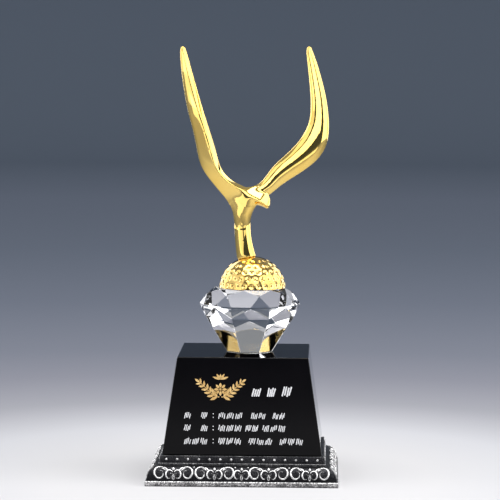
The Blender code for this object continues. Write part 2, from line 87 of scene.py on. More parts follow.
class Slot(Enum):
    """Names of the record's material slots."""

    GOLD = "polished_gold"
    BALL = "ball_gold"
    CRYSTAL = "clear_crystal"
    GLASS = "black_glass"
    SILVER = "antique_silver"


class Side(Enum):
    """The four sides of the base, as quarter turns from the front."""

    FRONT = 0
    RIGHT = 1
    BACK = 2
    LEFT = 3

    @property
    def along(self) -> Vector:
        """Direction along the side, to the right of someone who faces it."""
        return Matrix.Rotation(self.value * pi / 2, 3, "Z") @ Vector((1.0, 0.0, 0.0))

    @property
    def out(self) -> Vector:
        """Direction out of the side."""
        return Matrix.Rotation(self.value * pi / 2, 3, "Z") @ Vector((0.0, -1.0, 0.0))


# Mesh tools that several pieces share


def raise_face(shape: BMesh, face: BMFace) -> BMFace:
    """Extrudes one face of a closed shape.

    Args:
        shape: the mesh that the face belongs to.
        face: the face to extrude.

    Returns:
        The new face, which lies where the old one did.
    """
    geometry = [face, *face.edges, *face.verts]
    raised = bmesh.ops.extrude_face_region(shape, geom=geometry)["geom"]
    return next(item for item in raised if isinstance(item, BMFace))


def sweep(rings: list[list[Vector]]) -> tuple[BMesh, list[list[bmesh.types.BMVert]]]:
    """Extrudes a face through rings of points into a closed shape.

    Args:
        rings: the rings, each with the same number of points in the same order.

    Returns:
        The shape, and its vertices ring by ring in the order of the points.
    """
    shape = bmesh.new()
    count = len(rings[0])
    bmesh.ops.create_circle(shape, cap_ends=True, segments=count, radius=1.0)
    face = next(iter(shape.faces))
    row = list(face.verts)
    for vert, place in zip(row, rings[0]):
        vert.co = place
    rows = [row]
    for ring in rings[1:]:
        face = raise_face(shape, face)
        before = [vert.co.copy() for vert in rows[-1]]
        row = []
        for old in before:
            row.append(min(face.verts, key=lambda vert, old=old: (vert.co - old).length_squared))
        for vert, place in zip(row, ring):
            vert.co = place
        rows.append(row)
    bmesh.ops.recalc_face_normals(shape, faces=shape.faces[:])
    return shape, rows


def add_to(target: BMesh, source: BMesh, place: Matrix | None = None) -> None:
    """Copies one shape into another.

    Args:
        target: the shape that receives the copy.
        source: the shape that is copied, and kept.
        place: where the copy goes, or None to leave it.
    """
    copy = source.copy()
    if place is not None:
        bmesh.ops.transform(copy, matrix=place, verts=copy.verts[:])
        if place.determinant() < 0:
            bmesh.ops.reverse_faces(copy, faces=copy.faces[:])
    mesh = bpy.data.meshes.new("copy")
    copy.to_mesh(mesh)
    copy.free()
    target.from_mesh(mesh)
    bpy.data.meshes.remove(mesh)


def new_object(shape: BMesh, name: str) -> bpy.types.Object:
    """Turns a shape into an object of the scene and frees it.

    Args:
        shape: the shape.
        name: the object's name.

    Returns:
        The new object, at the origin.
    """
    mesh = bpy.data.meshes.new(name)
    shape.to_mesh(mesh)
    shape.free()
    made = bpy.data.objects.new(name, mesh)
    bpy.context.scene.collection.objects.link(made)
    return made


def evaluated_shape(item: bpy.types.Object) -> BMesh:
    """Reads an object with its modifiers applied.

    Args:
        item: the object.

    Returns:
        The evaluated mesh as a shape.
    """
    depsgraph = bpy.context.evaluated_depsgraph_get()
    mesh = bpy.data.meshes.new_from_object(item.evaluated_get(depsgraph))
    shape = bmesh.new()
    shape.from_mesh(mesh)
    bpy.data.meshes.remove(mesh)
    return shape


def gather(parts: list[BMesh]) -> BMesh:
    """Joins several shapes into one and frees them.

    Args:
        parts: the shapes.

    Returns:
        The joined shape.
    """
    shape = bmesh.new()
    for part in parts:
        add_to(shape, part)
        part.free()
    return shape


def polish(shape: BMesh, verts: list[bmesh.types.BMVert], passes: int) -> None:
    """Smooths these vertices of a shape so many times."""
    for _ in range(passes):
        bmesh.ops.smooth_vert(
            shape, verts=verts, factor=0.5, use_axis_x=True, use_axis_y=True, use_axis_z=True
        )


def finish_piece(shape: BMesh, name: str, material: bpy.types.Material,
                 sharp: float) -> bpy.types.Object:
    """Makes a shape a finished piece that rides on the object's only body.

    Args:
        shape: the closed shape, freed here.
        name: the piece's name.
        material: its finish.
        sharp: the angle in degrees past which an edge stays sharp.

    Returns:
        The piece.
    """
    piece = new_object(shape, name)
    piece.data.materials.append(material)
    piece.data.shade_smooth()
    piece.data.set_sharp_from_angle(angle=radians(sharp))
    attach(piece, "root")
    LOG.info("%s: %d faces", name, len(piece.data.polygons))
    return piece


# Materials


class NodeTree:
    """Adds and links the nodes of one material or group."""

    def __init__(self, tree: bpy.types.NodeTree) -> None:
        """Keeps the tree that is written to."""
        self.tree = tree

    def add(self, kind: str, inputs: dict | None = None, **settings: object) -> bpy.types.Node:
        """Adds a node.

        Args:
            kind: Blender's name for the node's type.
            inputs: values for its sockets, or sockets to link to them, by name or number.
            settings: values for the node's own properties.

        Returns:
            The node.
        """
        node = self.tree.nodes.new(kind)
        for key, value in settings.items():
            setattr(node, key, value)
        for key, value in (inputs or {}).items():
            if isinstance(value, bpy.types.NodeSocket):
                self.tree.links.new(value, node.inputs[key])
            else:
                node.inputs[key].default_value = value
        return node

    def math(self, operation: str, *values: object, clamp: bool = False) -> bpy.types.NodeSocket:
        """Adds a sum of numbers or sockets, kept from 0 to 1 if clamp is set, and gives its socket."""
        node = self.add("ShaderNodeMath", dict(enumerate(values)), operation=operation, use_clamp=clamp)
        return node.outputs["Value"]

    def ramp(self, factor: bpy.types.NodeSocket, stops: list[tuple[float, Colour]]) -> bpy.types.NodeSocket:
        """Adds a colour ramp.

        Args:
            factor: the socket that drives it.
            stops: place and colour of each stop.

        Returns:
            The ramp's colour socket.
        """
        node = self.add("ShaderNodeValToRGB", {"Fac": factor})
        elements = node.color_ramp.elements
        while len(elements) < len(stops):
            elements.new(1.0)
        for element, (place, colour) in zip(elements, stops):
            element.position = place
            element.color = (*colour, 1.0)
        return node.outputs["Color"]

    def spread(self, value: bpy.types.NodeSocket, low: float, high: float, start: float = 0.0,
               end: float = 1.0) -> bpy.types.NodeSocket:
        """Maps a value from start and end to low and high, and gives the mapped socket."""
        inputs = {"Value": value, "From Min": start, "From Max": end, "To Min": low, "To Max": high}
        return self.add("ShaderNodeMapRange", inputs).outputs["Result"]


def blank_material(name: str) -> tuple[bpy.types.Material, NodeTree, bpy.types.Node]:
    """Makes a material to fill in.

    Args:
        name: its name.

    Returns:
        The material, its nodes and its shader.
    """
    material = bpy.data.materials.new(name)
    material.use_nodes = True
    return material, NodeTree(material.node_tree), material.node_tree.nodes["Principled BSDF"]


def handling_marks() -> bpy.types.NodeTree:
    """The shader group of cloudy polish and hair scratches that every finish uses.

    Returns:
        The group, with inputs Vector, Cloud Scale and Scratch Scale, and outputs Cloud and Height.
    """
    name = "handling_marks"
    if name in bpy.data.node_groups:
        return bpy.data.node_groups[name]
    group = bpy.data.node_groups.new(name, "ShaderNodeTree")
    group.interface.new_socket("Vector", in_out="INPUT", socket_type="NodeSocketVector")
    for way, sockets in (("INPUT", ("Cloud Scale", "Scratch Scale")), ("OUTPUT", ("Cloud", "Height"))):
        for socket in sockets:
            group.interface.new_socket(socket, in_out=way, socket_type="NodeSocketFloat")
    tree = NodeTree(group)
    given = tree.add("NodeGroupInput").outputs
    place = given["Vector"]
    cloudy = {"Vector": place, "Scale": given["Cloud Scale"], "Detail": 5.0}
    cloud = tree.add("ShaderNodeTexNoise", cloudy).outputs["Fac"]
    drawn_out = tree.add("ShaderNodeMapping", {"Vector": place, "Scale": SCRATCH_STRETCH}).outputs["Vector"]
    fine = {"Vector": drawn_out, "Scale": given["Scratch Scale"], "Detail": 3.0, "Roughness": 0.7}
    streak = tree.add("ShaderNodeTexNoise", fine).outputs["Fac"]
    scratch = tree.spread(streak, 0.0, 1.0, *SCRATCH_BAND)
    height = tree.math("MULTIPLY_ADD", cloud, -CLOUD_DEPTH, scratch)
    tree.add("NodeGroupOutput", {"Cloud": cloud, "Height": height})
    return group


@dataclass(frozen=True)
class Finish:
    """What every finish has: a name, two tones, a range of roughness and plain shader values."""

    name: str
    tone: Colour
    deep_tone: Colour
    roughness: tuple[float, float]
    metallic: float = 1.0
    ior: float = 1.5
    specular: float = 0.5
    transmission: float = 0.0
    cloud_scale: float = 60.0
    scratch_scale: float = 900.0
    bump: float = 0.02
    bump_depth: float = 0.02 * MM

    def start(self) -> tuple[bpy.types.Material, NodeTree, bpy.types.Node, bpy.types.Node]:
        """Makes the material with its plain values.

        Returns:
            The material, its nodes, its shader and its group of marks.
        """
        material, tree, shader = blank_material(self.name)
        plain = {
            "Metallic": self.metallic, "IOR": self.ior, "Specular IOR Level": self.specular,
            "Transmission Weight": self.transmission,
        }
        for socket, value in plain.items():
            shader.inputs[socket].default_value = value
        place = tree.add("ShaderNodeTexCoord").outputs["Object"]
        marks = tree.add("ShaderNodeGroup", node_tree=handling_marks())
        tree.tree.links.new(place, marks.inputs["Vector"])
        marks.inputs["Cloud Scale"].default_value = self.cloud_scale
        marks.inputs["Scratch Scale"].default_value = self.scratch_scale
        return material, tree, shader, marks

    def wire(self, tree: NodeTree, shader: bpy.types.Node, colour: bpy.types.NodeSocket,
             shine: bpy.types.NodeSocket, height: bpy.types.NodeSocket) -> None:
        """Feeds colour, roughness and relief into the shader.

        Args:
            tree: the material's nodes.
            shader: its shader.
            colour: the colour socket.
            shine: the socket that runs from smooth at 0 to rough at 1.
            height: the height socket.
        """
        links = tree.tree.links
        links.new(colour, shader.inputs["Base Color"])
        links.new(tree.spread(shine, *self.roughness), shader.inputs["Roughness"])
        relief = {"Strength": self.bump, "Distance": self.bump_depth, "Height": height}
        links.new(tree.add("ShaderNodeBump", relief).outputs["Normal"], shader.inputs["Normal"])

    def make(self) -> bpy.types.Material:
        """Builds the material of an evenly finished surface.

        Returns:
            The material.
        """
        material, tree, shader, marks = self.start()
        cloud = tree.spread(marks.outputs["Cloud"], 0.0, 1.0, *NOISE_BAND)
        colour = tree.ramp(cloud, [(0.0, self.deep_tone), (1.0, self.tone)])
        self.wire(tree, shader, colour, cloud, marks.outputs["Height"])
        return material


@dataclass(frozen=True)
class CastSilver(Finish):
    """Antique silver: an oxide that stays dark in the hollows and is rubbed bright where it stands out."""

    oxide: Colour = (0.012, 0.012, 0.014)
    grain_scale: float = 1400.0
    unevenness: float = 0.30
    patchiness: float = 0.12

    def make(self) -> bpy.types.Material:
        """Builds the material from each piece's own wear attribute.

        Returns:
            The material.
        """
        material, tree, shader, marks = self.start()
        wear = tree.add("ShaderNodeAttribute", attribute_name="wear").outputs["Fac"]
        place = tree.add("ShaderNodeTexCoord").outputs["Object"]
        grainy = {"Vector": place, "Scale": self.grain_scale, "Detail": 4.0}
        grain = tree.add("ShaderNodeTexNoise", grainy).outputs["Fac"]
        uneven = tree.spread(grain, -self.unevenness, self.unevenness, *NOISE_BAND)
        patchy = tree.spread(marks.outputs["Cloud"], -self.patchiness, self.patchiness, *NOISE_BAND)
        rubbed = tree.math("ADD", wear, tree.math("ADD", uneven, patchy), clamp=True)
        middle = tuple((dark + light) * 0.22 for dark, light in zip(self.oxide, self.tone))
        stops = [(0.0, self.oxide), (0.35, self.deep_tone), (0.62, middle), (1.0, self.tone)]
        colour = tree.ramp(rubbed, stops)
        self.wire(tree, shader, colour, tree.math("SUBTRACT", 1.0, rubbed), grain)
        return material


@dataclass(frozen=True)
class DimpledGold(Finish):
    """Polished gold with painted shade: deep brown at the bottom of its dimples and darker on the lands
    between them.
    """

    painted_shade_tone: Colour = (0.16, 0.085, 0.018)

    def make(self) -> bpy.types.Material:
        """Builds the material from the piece's own attribute of painted shade.

        Returns:
            The material.
        """
        material, tree, shader, marks = self.start()
        cloud = tree.spread(marks.outputs["Cloud"], 0.0, 1.0, *NOISE_BAND)
        polished = tree.ramp(cloud, [(0.0, self.deep_tone), (1.0, self.tone)])
        # Painted shade: the per-vertex shade of the dimples and the lands mixes in the deep brown tone
        painted_shade = tree.add("ShaderNodeAttribute", attribute_name="painted_shade").outputs["Fac"]
        mixed = {"Factor": painted_shade, "A": polished, "B": (*self.painted_shade_tone, 1.0)}
        colour = tree.add("ShaderNodeMix", mixed, data_type="RGBA").outputs["Result"]
        self.wire(tree, shader, colour, cloud, marks.outputs["Height"])
        return material


BIRD_GOLD = Finish(
    "bird_gold", tone=(1.0, 0.73, 0.22), deep_tone=(0.97, 0.66, 0.16), roughness=(0.03, 0.07),
    cloud_scale=45.0,
)
BALL_GOLD = DimpledGold(
    "ball_gold", tone=(1.0, 0.74, 0.26), deep_tone=(0.94, 0.62, 0.17), roughness=(0.04, 0.09),
    cloud_scale=160.0,
)
LEAF_GOLD = Finish(
    "leaf_gold", tone=(0.98, 0.68, 0.28), deep_tone=(0.74, 0.44, 0.14), roughness=(0.30, 0.45), metallic=0.25,
    cloud_scale=260.0, bump=0.10,
)
CLEAR_CRYSTAL = Finish(
    "clear_crystal", tone=(1.0, 1.0, 1.0), deep_tone=(0.985, 0.99, 1.0), roughness=(0.0, 0.012), metallic=0.0,
    ior=1.54, transmission=1.0, bump=0.004,
)
BLACK_GLASS = Finish(
    "black_glass", tone=(0.0020, 0.0016, 0.0022), deep_tone=(0.0010, 0.0008, 0.0012), roughness=(0.015, 0.05),
    metallic=0.0, ior=1.5, specular=0.14, bump=0.006,
)
WHITE_PAINT = Finish(
    "white_paint", tone=(0.95, 0.95, 0.96), deep_tone=(0.78, 0.78, 0.80), roughness=(0.45, 0.6), metallic=0.0,
    cloud_scale=900.0, bump=0.15,
)
ANTIQUE_SILVER = CastSilver(
    "antique_silver", tone=(0.80, 0.79, 0.79), deep_tone=(0.05, 0.05, 0.054), roughness=(0.22, 0.5),
    cloud_scale=90.0, bump=0.35, bump_depth=0.05 * MM,
)


# The bird and the half golf ball


def ball_middle() -> Vector:
    """The middle of the ball that the half ball is cut from."""
    low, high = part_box("golf_ball_dome")
    return Vector(((low.x + high.x) / 2, 0.0, high.z - BALL_RADIUS))


@dataclass
class Bird:
    """The gilt bird: its places and depths are in steps, from the middle of its foot."""

    foot_across: float = -0.8 * MM
    foot_below_crown: float = 1.2 * MM
    reach: float = 213.4
    lean: float = radians(-0.45)
    gap: float = 0.05 * MM
    levels: int = 3
    sharp_ridge: float = 0.75
    soft_ridge: float = 0.25
    beak_ridge: float = 0.5
    end_share: float = 0.65
    end_reach: float = 0.35
    grain: float = 0.42 * MM
    polish_passes: int = 9
    # Where the joins are polished further: place, reach and passes
    joins: tuple[tuple[tuple[float, float, float], float, int], ...] = (
        ((-10.0, -6.0, 45.0), 16.0, 40), ((-3.0, -5.0, 64.0), 12.0, 30),
    )
    stem_stations: int = 10
    # Outer edge (x, z), inner edge (x, z), place of the ridge, middle depth, front and back bulge
    left_wing: tuple[Station, ...] = (
        ((-70.2, 211.9), (-65.0, 211.9), 0.50, -10.0, 2.2, 2.2),
        ((-71.6, 207.0), (-63.0, 207.0), 0.55, -10.0, 2.8, 2.6),
        ((-71.3, 199.3), (-61.4, 199.3), 0.62, -9.5, 3.4, 3.0),
        ((-70.6, 183.9), (-57.3, 184.1), 0.66, -8.8, 4.4, 3.6),
        ((-66.4, 152.6), (-48.5, 152.6), 0.71, -7.0, 5.8, 4.6),
        ((-63.0, 138.5), (-44.2, 138.5), 0.75, -6.1, 6.3, 4.9),
        ((-58.6, 120.5), (-38.5, 120.5), 0.78, -4.8, 7.0, 5.4),
        ((-56.6, 104.5), (-33.8, 104.6), 0.78, -3.6, 7.6, 5.8),
        ((-54.0, 94.0), (-31.8, 94.6), 0.80, -2.8, 8.0, 6.2),
        ((-48.8, 84.5), (-27.6, 86.2), 0.82, -2.0, 8.2, 6.6),
        ((-41.9, 75.5), (-20.0, 78.8), 0.82, -1.4, 8.4, 7.0),
        ((-35.4, 66.6), (-9.8, 73.6), 0.80, -0.8, 8.6, 7.4),
        ((-29.7, 59.2), (0.6, 69.8), 0.78, -0.4, 8.8, 7.6),
        ((-25.7, 53.6), (7.5, 64.6), 0.76, 0.0, 8.8, 7.6),
        ((-23.2, 49.6), (8.2, 57.6), 0.70, 0.0, 8.6, 7.4),
        ((-21.3, 46.0), (6.2, 52.2), 0.62, 0.0, 8.2, 7.2),
        ((-20.1, 42.5), (3.0, 46.8), 0.58, 0.0, 7.8, 7.0),
        ((-19.2, 38.5), (1.2, 41.2), 0.56, 0.0, 7.4, 6.8),
        ((-18.6, 33.0), (0.2, 35.0), 0.55, 0.0, 7.0, 6.6),
        ((-18.0, 21.0), (0.6, 21.0), 0.55, 0.0, 6.8, 6.4),
        ((-16.9, 5.2), (4.6, 5.2), 0.55, 0.0, 7.6, 7.2),
        ((-16.0, -1.0), (7.5, -1.0), 0.55, 0.0, 8.4, 8.0),
        ((-13.0, -9.0), (5.0, -9.0), 0.55, 0.0, 7.0, 7.0),
    )
    right_wing: tuple[Station, ...] = (
        ((60.4, 212.0), (55.6, 212.0), 0.50, 12.0, 2.0, 2.0),
        ((62.5, 207.0), (54.2, 207.0), 0.50, 12.0, 2.6, 2.6),
        ((66.4, 197.5), (55.2, 197.5), 0.48, 11.6, 3.4, 3.2),
        ((70.6, 183.9), (56.4, 183.9), 0.47, 11.0, 4.4, 4.0),
        ((77.2, 160.0), (58.4, 160.0), 0.46, 9.8, 5.7, 4.9),
        ((79.9, 136.4), (57.6, 140.4), 0.47, 8.6, 6.6, 5.6),
        ((79.6, 124.0), (53.8, 131.5), 0.48, 7.8, 7.0, 6.0),
        ((78.2, 112.4), (48.6, 122.0), 0.50, 7.0, 7.2, 6.2),
        ((72.6, 101.8), (41.6, 113.6), 0.51, 6.2, 7.2, 6.2),
        ((63.2, 92.6), (33.4, 105.6), 0.52, 5.4, 7.0, 6.0),
        ((52.4, 85.0), (26.2, 99.4), 0.53, 4.6, 6.6, 5.8),
        ((41.4, 78.6), (18.6, 91.4), 0.54, 3.8, 6.2, 5.6),
        ((30.2, 71.6), (13.2, 82.6), 0.55, 3.0, 5.8, 5.4),
        ((21.8, 64.0), (7.2, 75.4), 0.52, 2.0, 5.8, 5.2),
        ((12.0, 58.0), (-2.6, 72.6), 0.50, 1.4, 5.4, 5.0),
        ((-6.0, 57.0), (-13.4, 73.0), 0.50, 0.8, 4.2, 4.6),
        ((-20.0, 66.0), (-22.5, 77.0), 0.50, 0.4, 2.6, 3.2),
    )
    head: tuple[Station, ...] = (
        ((-14.0, 60.0), (-9.0, 73.0), 0.62, -1.5, 6.8, 5.0),
        ((-5.0, 55.0), (1.5, 71.5), 0.48, -1.5, 7.8, 5.6),
        ((2.5, 53.0), (9.5, 70.0), 0.38, -1.5, 8.2, 5.6),
        ((7.0, 52.8), (15.0, 68.0), 0.28, -1.8, 8.0, 5.4),
        ((10.5, 51.6), (18.6, 63.5), 0.28, -2.0, 7.4, 4.8),
        ((13.0, 50.6), (19.6, 58.4), 0.34, -2.2, 6.4, 4.4),
        ((14.6, 50.0), (19.2, 54.4), 0.44, -2.4, 4.8, 3.8),
    )
    # Share of the way from the outer edge, share of the bulge, and 1 where a ridge runs
    blade: Section = (
        (0.0, 0.0, 0), (0.52, -0.62, 0), (1.0, -1.0, 1), (1.52, -0.52, 0),
        (2.0, 0.05, 1), (1.5, 0.8, 0), (0.95, 1.0, 0), (0.4, 0.72, 0),
    )
    plume: Section = (
        (0.0, 0.0, 0), (0.44, -0.75, 1), (1.0, -1.0, 0), (1.62, -0.8, 1),
        (2.0, 0.1, 0), (1.5, 0.8, 0), (0.95, 1.0, 0), (0.4, 0.72, 0),
    )
    tube: Section = (
        (0.0, 0.0, 0), (0.36, -0.82, 0), (1.0, -1.0, 0), (1.62, -0.8, 0),
        (2.0, 0.0, 0), (1.6, 0.82, 0), (1.0, 1.0, 0), (0.38, 0.82, 0),
    )
    ball_centre: Vector = field(init=False)
    foot: Vector = field(init=False)
    step: float = field(init=False)

    def __post_init__(self) -> None:
        """Takes the ball's place and the bird's height from the frame."""
        self.ball_centre = ball_middle()
        self.foot = self.ball_centre + Vector((self.foot_across, 0.0, BALL_RADIUS - self.foot_below_crown))
        self.step = (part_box("eagle_figure")[1].z - self.foot.z) / self.reach

    def ring(self, station: Station, section: Section) -> list[Vector]:
        """The points round one section.

        Args:
            station: the edges, ridge and bulges there.
            section: the shares that shape it.

        Returns:
            One place for each point of the section.
        """
        outer, inner, ridge, middle, front, back = station
        turn = Matrix.Rotation(self.lean, 3, "Y")
        points = []
        for place, bulge, _ in section:
            share = place * ridge if place <= 1.0 else ridge + (place - 1.0) * (1.0 - ridge)
            across = outer[0] + (inner[0] - outer[0]) * share
            rise = outer[1] + (inner[1] - outer[1]) * share
            depth = middle + bulge * (front if bulge < 0 else back)
            points.append(self.foot + turn @ Vector((across, depth, rise)) * self.step)
        return points

    def end_ring(self, ring: list[Vector], behind: list[Vector]) -> list[Vector]:
        """A smaller ring just past a limb's end, so that the end comes out round.

        Args:
            ring: the limb's end ring.
            behind: the ring next to it.

        Returns:
            The points of the smaller ring.
        """
        middle = sum(ring, Vector()) / len(ring)
        heading = (middle - sum(behind, Vector()) / len(behind)).normalized()
        reach = max((point - middle).length for point in ring) * self.end_reach
        return [middle + heading * reach + (point - middle) * self.end_share for point in ring]

    def limb(self, name: str, stations: tuple[Station, ...], section: Section, ridge: float,
             stem: int = 0) -> bpy.types.Object:
        """One limb: a cage through its stations, with a smooth surface over it.

        Args:
            name: the limb's name.
            stations: its stations, from the tip.
            section: the section of all but the stem.
            ridge: how sharp its ridges are, from 0 to 1.
            stem: how many of the last stations have the stem's own section.

        Returns:
            The limb, with its modifier live.
        """
        plain = len(stations) - stem
        sections = [section] * plain + [self.tube] * stem
        rings = [self.ring(item, outline) for item, outline in zip(stations, sections)]
        first, last = self.end_ring(rings[0], rings[1]), self.end_ring(rings[-1], rings[-2])
        shape, rows = sweep([first, *rings, last])
        crease = shape.edges.layers.float.new("crease_edge")
        for row, after in zip(rows[2:plain], rows[3:plain + 1]):
            for near, far, (_, _, ridged) in zip(row, after, section):
                shape.edges.get((near, far))[crease] = ridge * ridged
        limb = new_object(shape, name)
        smooth = limb.modifiers.new("Smooth", "SUBSURF")
        smooth.levels = self.levels
        smooth.render_levels = self.levels
        return limb

    def build(self) -> bpy.types.Object:
        """Fuses the limbs, seats the foot on the ball and polishes the joins.

        Returns:
            The bird.
        """
        body = self.limb("body", self.left_wing, self.blade, self.sharp_ridge, self.stem_stations)
        wing = self.limb("wing", self.right_wing, self.plume, self.soft_ridge)
        head = self.limb("head", self.head, self.blade, self.beak_ridge)
        seat = bmesh.new()
        bmesh.ops.create_uvsphere(
            seat, u_segments=96, v_segments=48, radius=BALL_RADIUS + self.gap,
            matrix=Matrix.Translation(self.ball_centre),
        )
        ball = new_object(seat, "seat")
        for other, operation in ((wing, "UNION"), (head, "UNION"), (ball, "DIFFERENCE")):
            join = body.modifiers.new(operation.title(), "BOOLEAN")
            join.operation = operation
            join.object = other
            join.solver = "EXACT"
        cast = body.modifiers.new("Cast", "REMESH")
        cast.mode = "VOXEL"
        cast.voxel_size = self.grain
        shape = evaluated_shape(body)
        for helper in (body, wing, head, ball):
            bpy.data.objects.remove(helper, do_unlink=True)
        polish(shape, shape.verts[:], self.polish_passes)
        for place, reach, passes in self.joins:
            middle = self.foot + Vector(place) * self.step
            near = [vert for vert in shape.verts if (vert.co - middle).length < reach * self.step]
            polish(shape, near, passes)
        bird = finish_piece(shape, "gilt_bird", BIRD_GOLD.make(), sharp=60.0)
        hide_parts("eagle_figure")
        return bird


@dataclass
class GolfBall:
    """The gilt half ball with its round dimples."""

    dimple: float = 3.7 * MM
    depth: float = 0.32 * MM
    pit: float = 1.5 * MM
    pit_depth: float = 0.32 * MM
    cup_power: float = 0.8
    # Painted shade: how dark the dimples' bottoms and the lands between dimples are painted, and how far each
    # reaches
    pit_shade: float = 0.85
    pit_reach: float = 1.6
    land_shade: float = 0.38
    land_reach: float = 4.0
    spacing: float = 4.62 * MM
    row_step: float = radians(12.6)
    first_row: float = radians(10.0)
    rows: int = 6
    subdivisions: int = 8
    foot_left: float = 13.2 * MM
    foot_right: float = 7.4 * MM

    def centres(self) -> list[Vector]:
        """Directions of the dimples from the ball's centre.

        Returns:
            One direction for each dimple, but none under the bird's foot.
        """
        places = []
        for row in range(self.rows):
            rise = self.first_row + row * self.row_step
            count = round(tau * BALL_RADIUS * cos(rise) / self.spacing)
            for index in range(count):
                turn = (index + 0.5 * (row % 2)) * tau / count
                place = Vector((cos(rise) * sin(turn), -cos(rise) * cos(turn), sin(rise)))
                across, depth = place.x * BALL_RADIUS, abs(place.y) * BALL_RADIUS
                if not (-self.foot_left < across < self.foot_right and depth < self.foot_right):
                    places.append(place)
        return places

    def build(self) -> bpy.types.Object:
        """Presses the dimples into a ball and cuts it flat.

        Returns:
            The half ball.
        """
        centre = ball_middle()
        shape = bmesh.new()
        fineness = self.subdivisions - 2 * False
        bmesh.ops.create_icosphere(shape, subdivisions=fineness, radius=BALL_RADIUS)
        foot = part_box("golf_ball_dome")[0].z - centre.z
        bmesh.ops.bisect_plane(
            shape, geom=[*shape.verts, *shape.edges, *shape.faces], dist=MERGE,
            plane_co=(0.0, 0.0, foot), plane_no=(0.0, 0.0, -1.0), clear_outer=True,
        )
        places = self.centres()
        tree = KDTree(len(places))
        for index, place in enumerate(places):
            tree.insert(place, index)
        tree.balance()
        # Painted shade per vertex: darkest at each dimple's bottom, lighter on its walls, darker again on the
        # lands between dimples
        painted_shade = shape.verts.layers.float.new("painted_shade")
        for vert in shape.verts:
            direction = vert.co.normalized()
            distance = tree.find(direction)[2] * BALL_RADIUS
            cup = max(0.0, 1.0 - (2 * distance / self.dimple) ** 2)
            pit = max(0.0, 1.0 - (2 * distance / self.pit) ** 2)
            vert.co -= direction * (self.depth * cup ** self.cup_power + self.pit_depth * pit)
            land = max(0.0, 1.0 - self.land_reach * cup)
            vert[painted_shade] = max(self.pit_shade * min(1.0, self.pit_reach * pit), self.land_shade * land)
        rim = [edge for edge in shape.edges if edge.is_boundary]
        bmesh.ops.holes_fill(shape, edges=rim, sides=0)
        bmesh.ops.translate(shape, verts=shape.verts[:], vec=centre)
        bmesh.ops.recalc_face_normals(shape, faces=shape.faces[:])
        ball = finish_piece(shape, "half_golf_ball", BALL_GOLD.make(), sharp=40.0)
        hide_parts("golf_ball_dome")
        return ball


# The crystal and the block


@dataclass
class Crystal:
    """The cut crystal, with its facet edges lightly eased so that they glint."""

    ease: float = 0.14 * MM
    coplanar: float = radians(0.6)

    def build(self) -> bpy.types.Object:
        """Copies the stone's facets and eases their edges.

        Returns:
            The stone.
        """
        shape = bmesh.new()
        shape.from_mesh(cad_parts["crystal_diamond"].data)
        bmesh.ops.remove_doubles(shape, verts=shape.verts[:], dist=MERGE * 10)
        bmesh.ops.dissolve_limit(
            shape, angle_limit=self.coplanar, verts=shape.verts[:], edges=shape.edges[:],
            use_dissolve_boundaries=False,
        )
        bmesh.ops.bevel(
            shape, geom=shape.edges[:], offset=self.ease, offset_type="OFFSET", segments=2, profile=0.5,
            affect="EDGES", material=-1, clamp_overlap=True,
        )
        stone = finish_piece(shape, "cut_crystal", CLEAR_CRYSTAL.make(), sharp=3.0)
        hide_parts("crystal_diamond")
        return stone


@dataclass
class GlassBlock:
    """The black glass block: four sloping sides and polished edges."""

    top_length: float = 82.8 * MM
    top_width: float = 76.7 * MM
    edge: float = 0.7 * MM
    edge_steps: int = 4
    low: Vector = field(init=False)
    high: Vector = field(init=False)

    def __post_init__(self) -> None:
        """Takes the block's foot and height from the frame."""
        self.low, self.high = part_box("black_block")

    def build(self) -> bpy.types.Object:
        """Tapers a cube and rounds its edges.

        Returns:
            The block.
        """
        shape = bmesh.new()
        bmesh.ops.create_cube(shape, size=2.0)
        for vert in shape.verts:
            if vert.co.z > 0:
                length, width, height = self.top_length / 2, self.top_width / 2, self.high.z
            else:
                length, width, height = self.high.x, self.high.y, self.low.z
            vert.co = (copysign(length, vert.co.x), copysign(width, vert.co.y), height)
        bmesh.ops.bevel(
            shape, geom=shape.edges[:], offset=self.edge, offset_type="OFFSET", segments=self.edge_steps,
            profile=0.5, affect="EDGES", material=-1,
        )
        block = finish_piece(shape, "glass_block", BLACK_GLASS.make(), sharp=8.0)
        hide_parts("black_block")
        return block

    def front(self) -> Matrix:
        """The front face's own frame.

        Returns:
            A matrix from (across, up, out) to the model's frame. Up is measured along the face from z = 0.
        """
        foot = Vector((0.0, -self.high.y, self.low.z))
        head = Vector((0.0, -self.top_width / 2, self.high.z))
        up = (head - foot).normalized()
        across = Vector((1.0, 0.0, 0.0))
        out = across.cross(up)
        start = foot - up * (foot.z / up.z)
        turn = Matrix((across, up, out)).transposed().to_4x4()
        return Matrix.Translation(start) @ turn


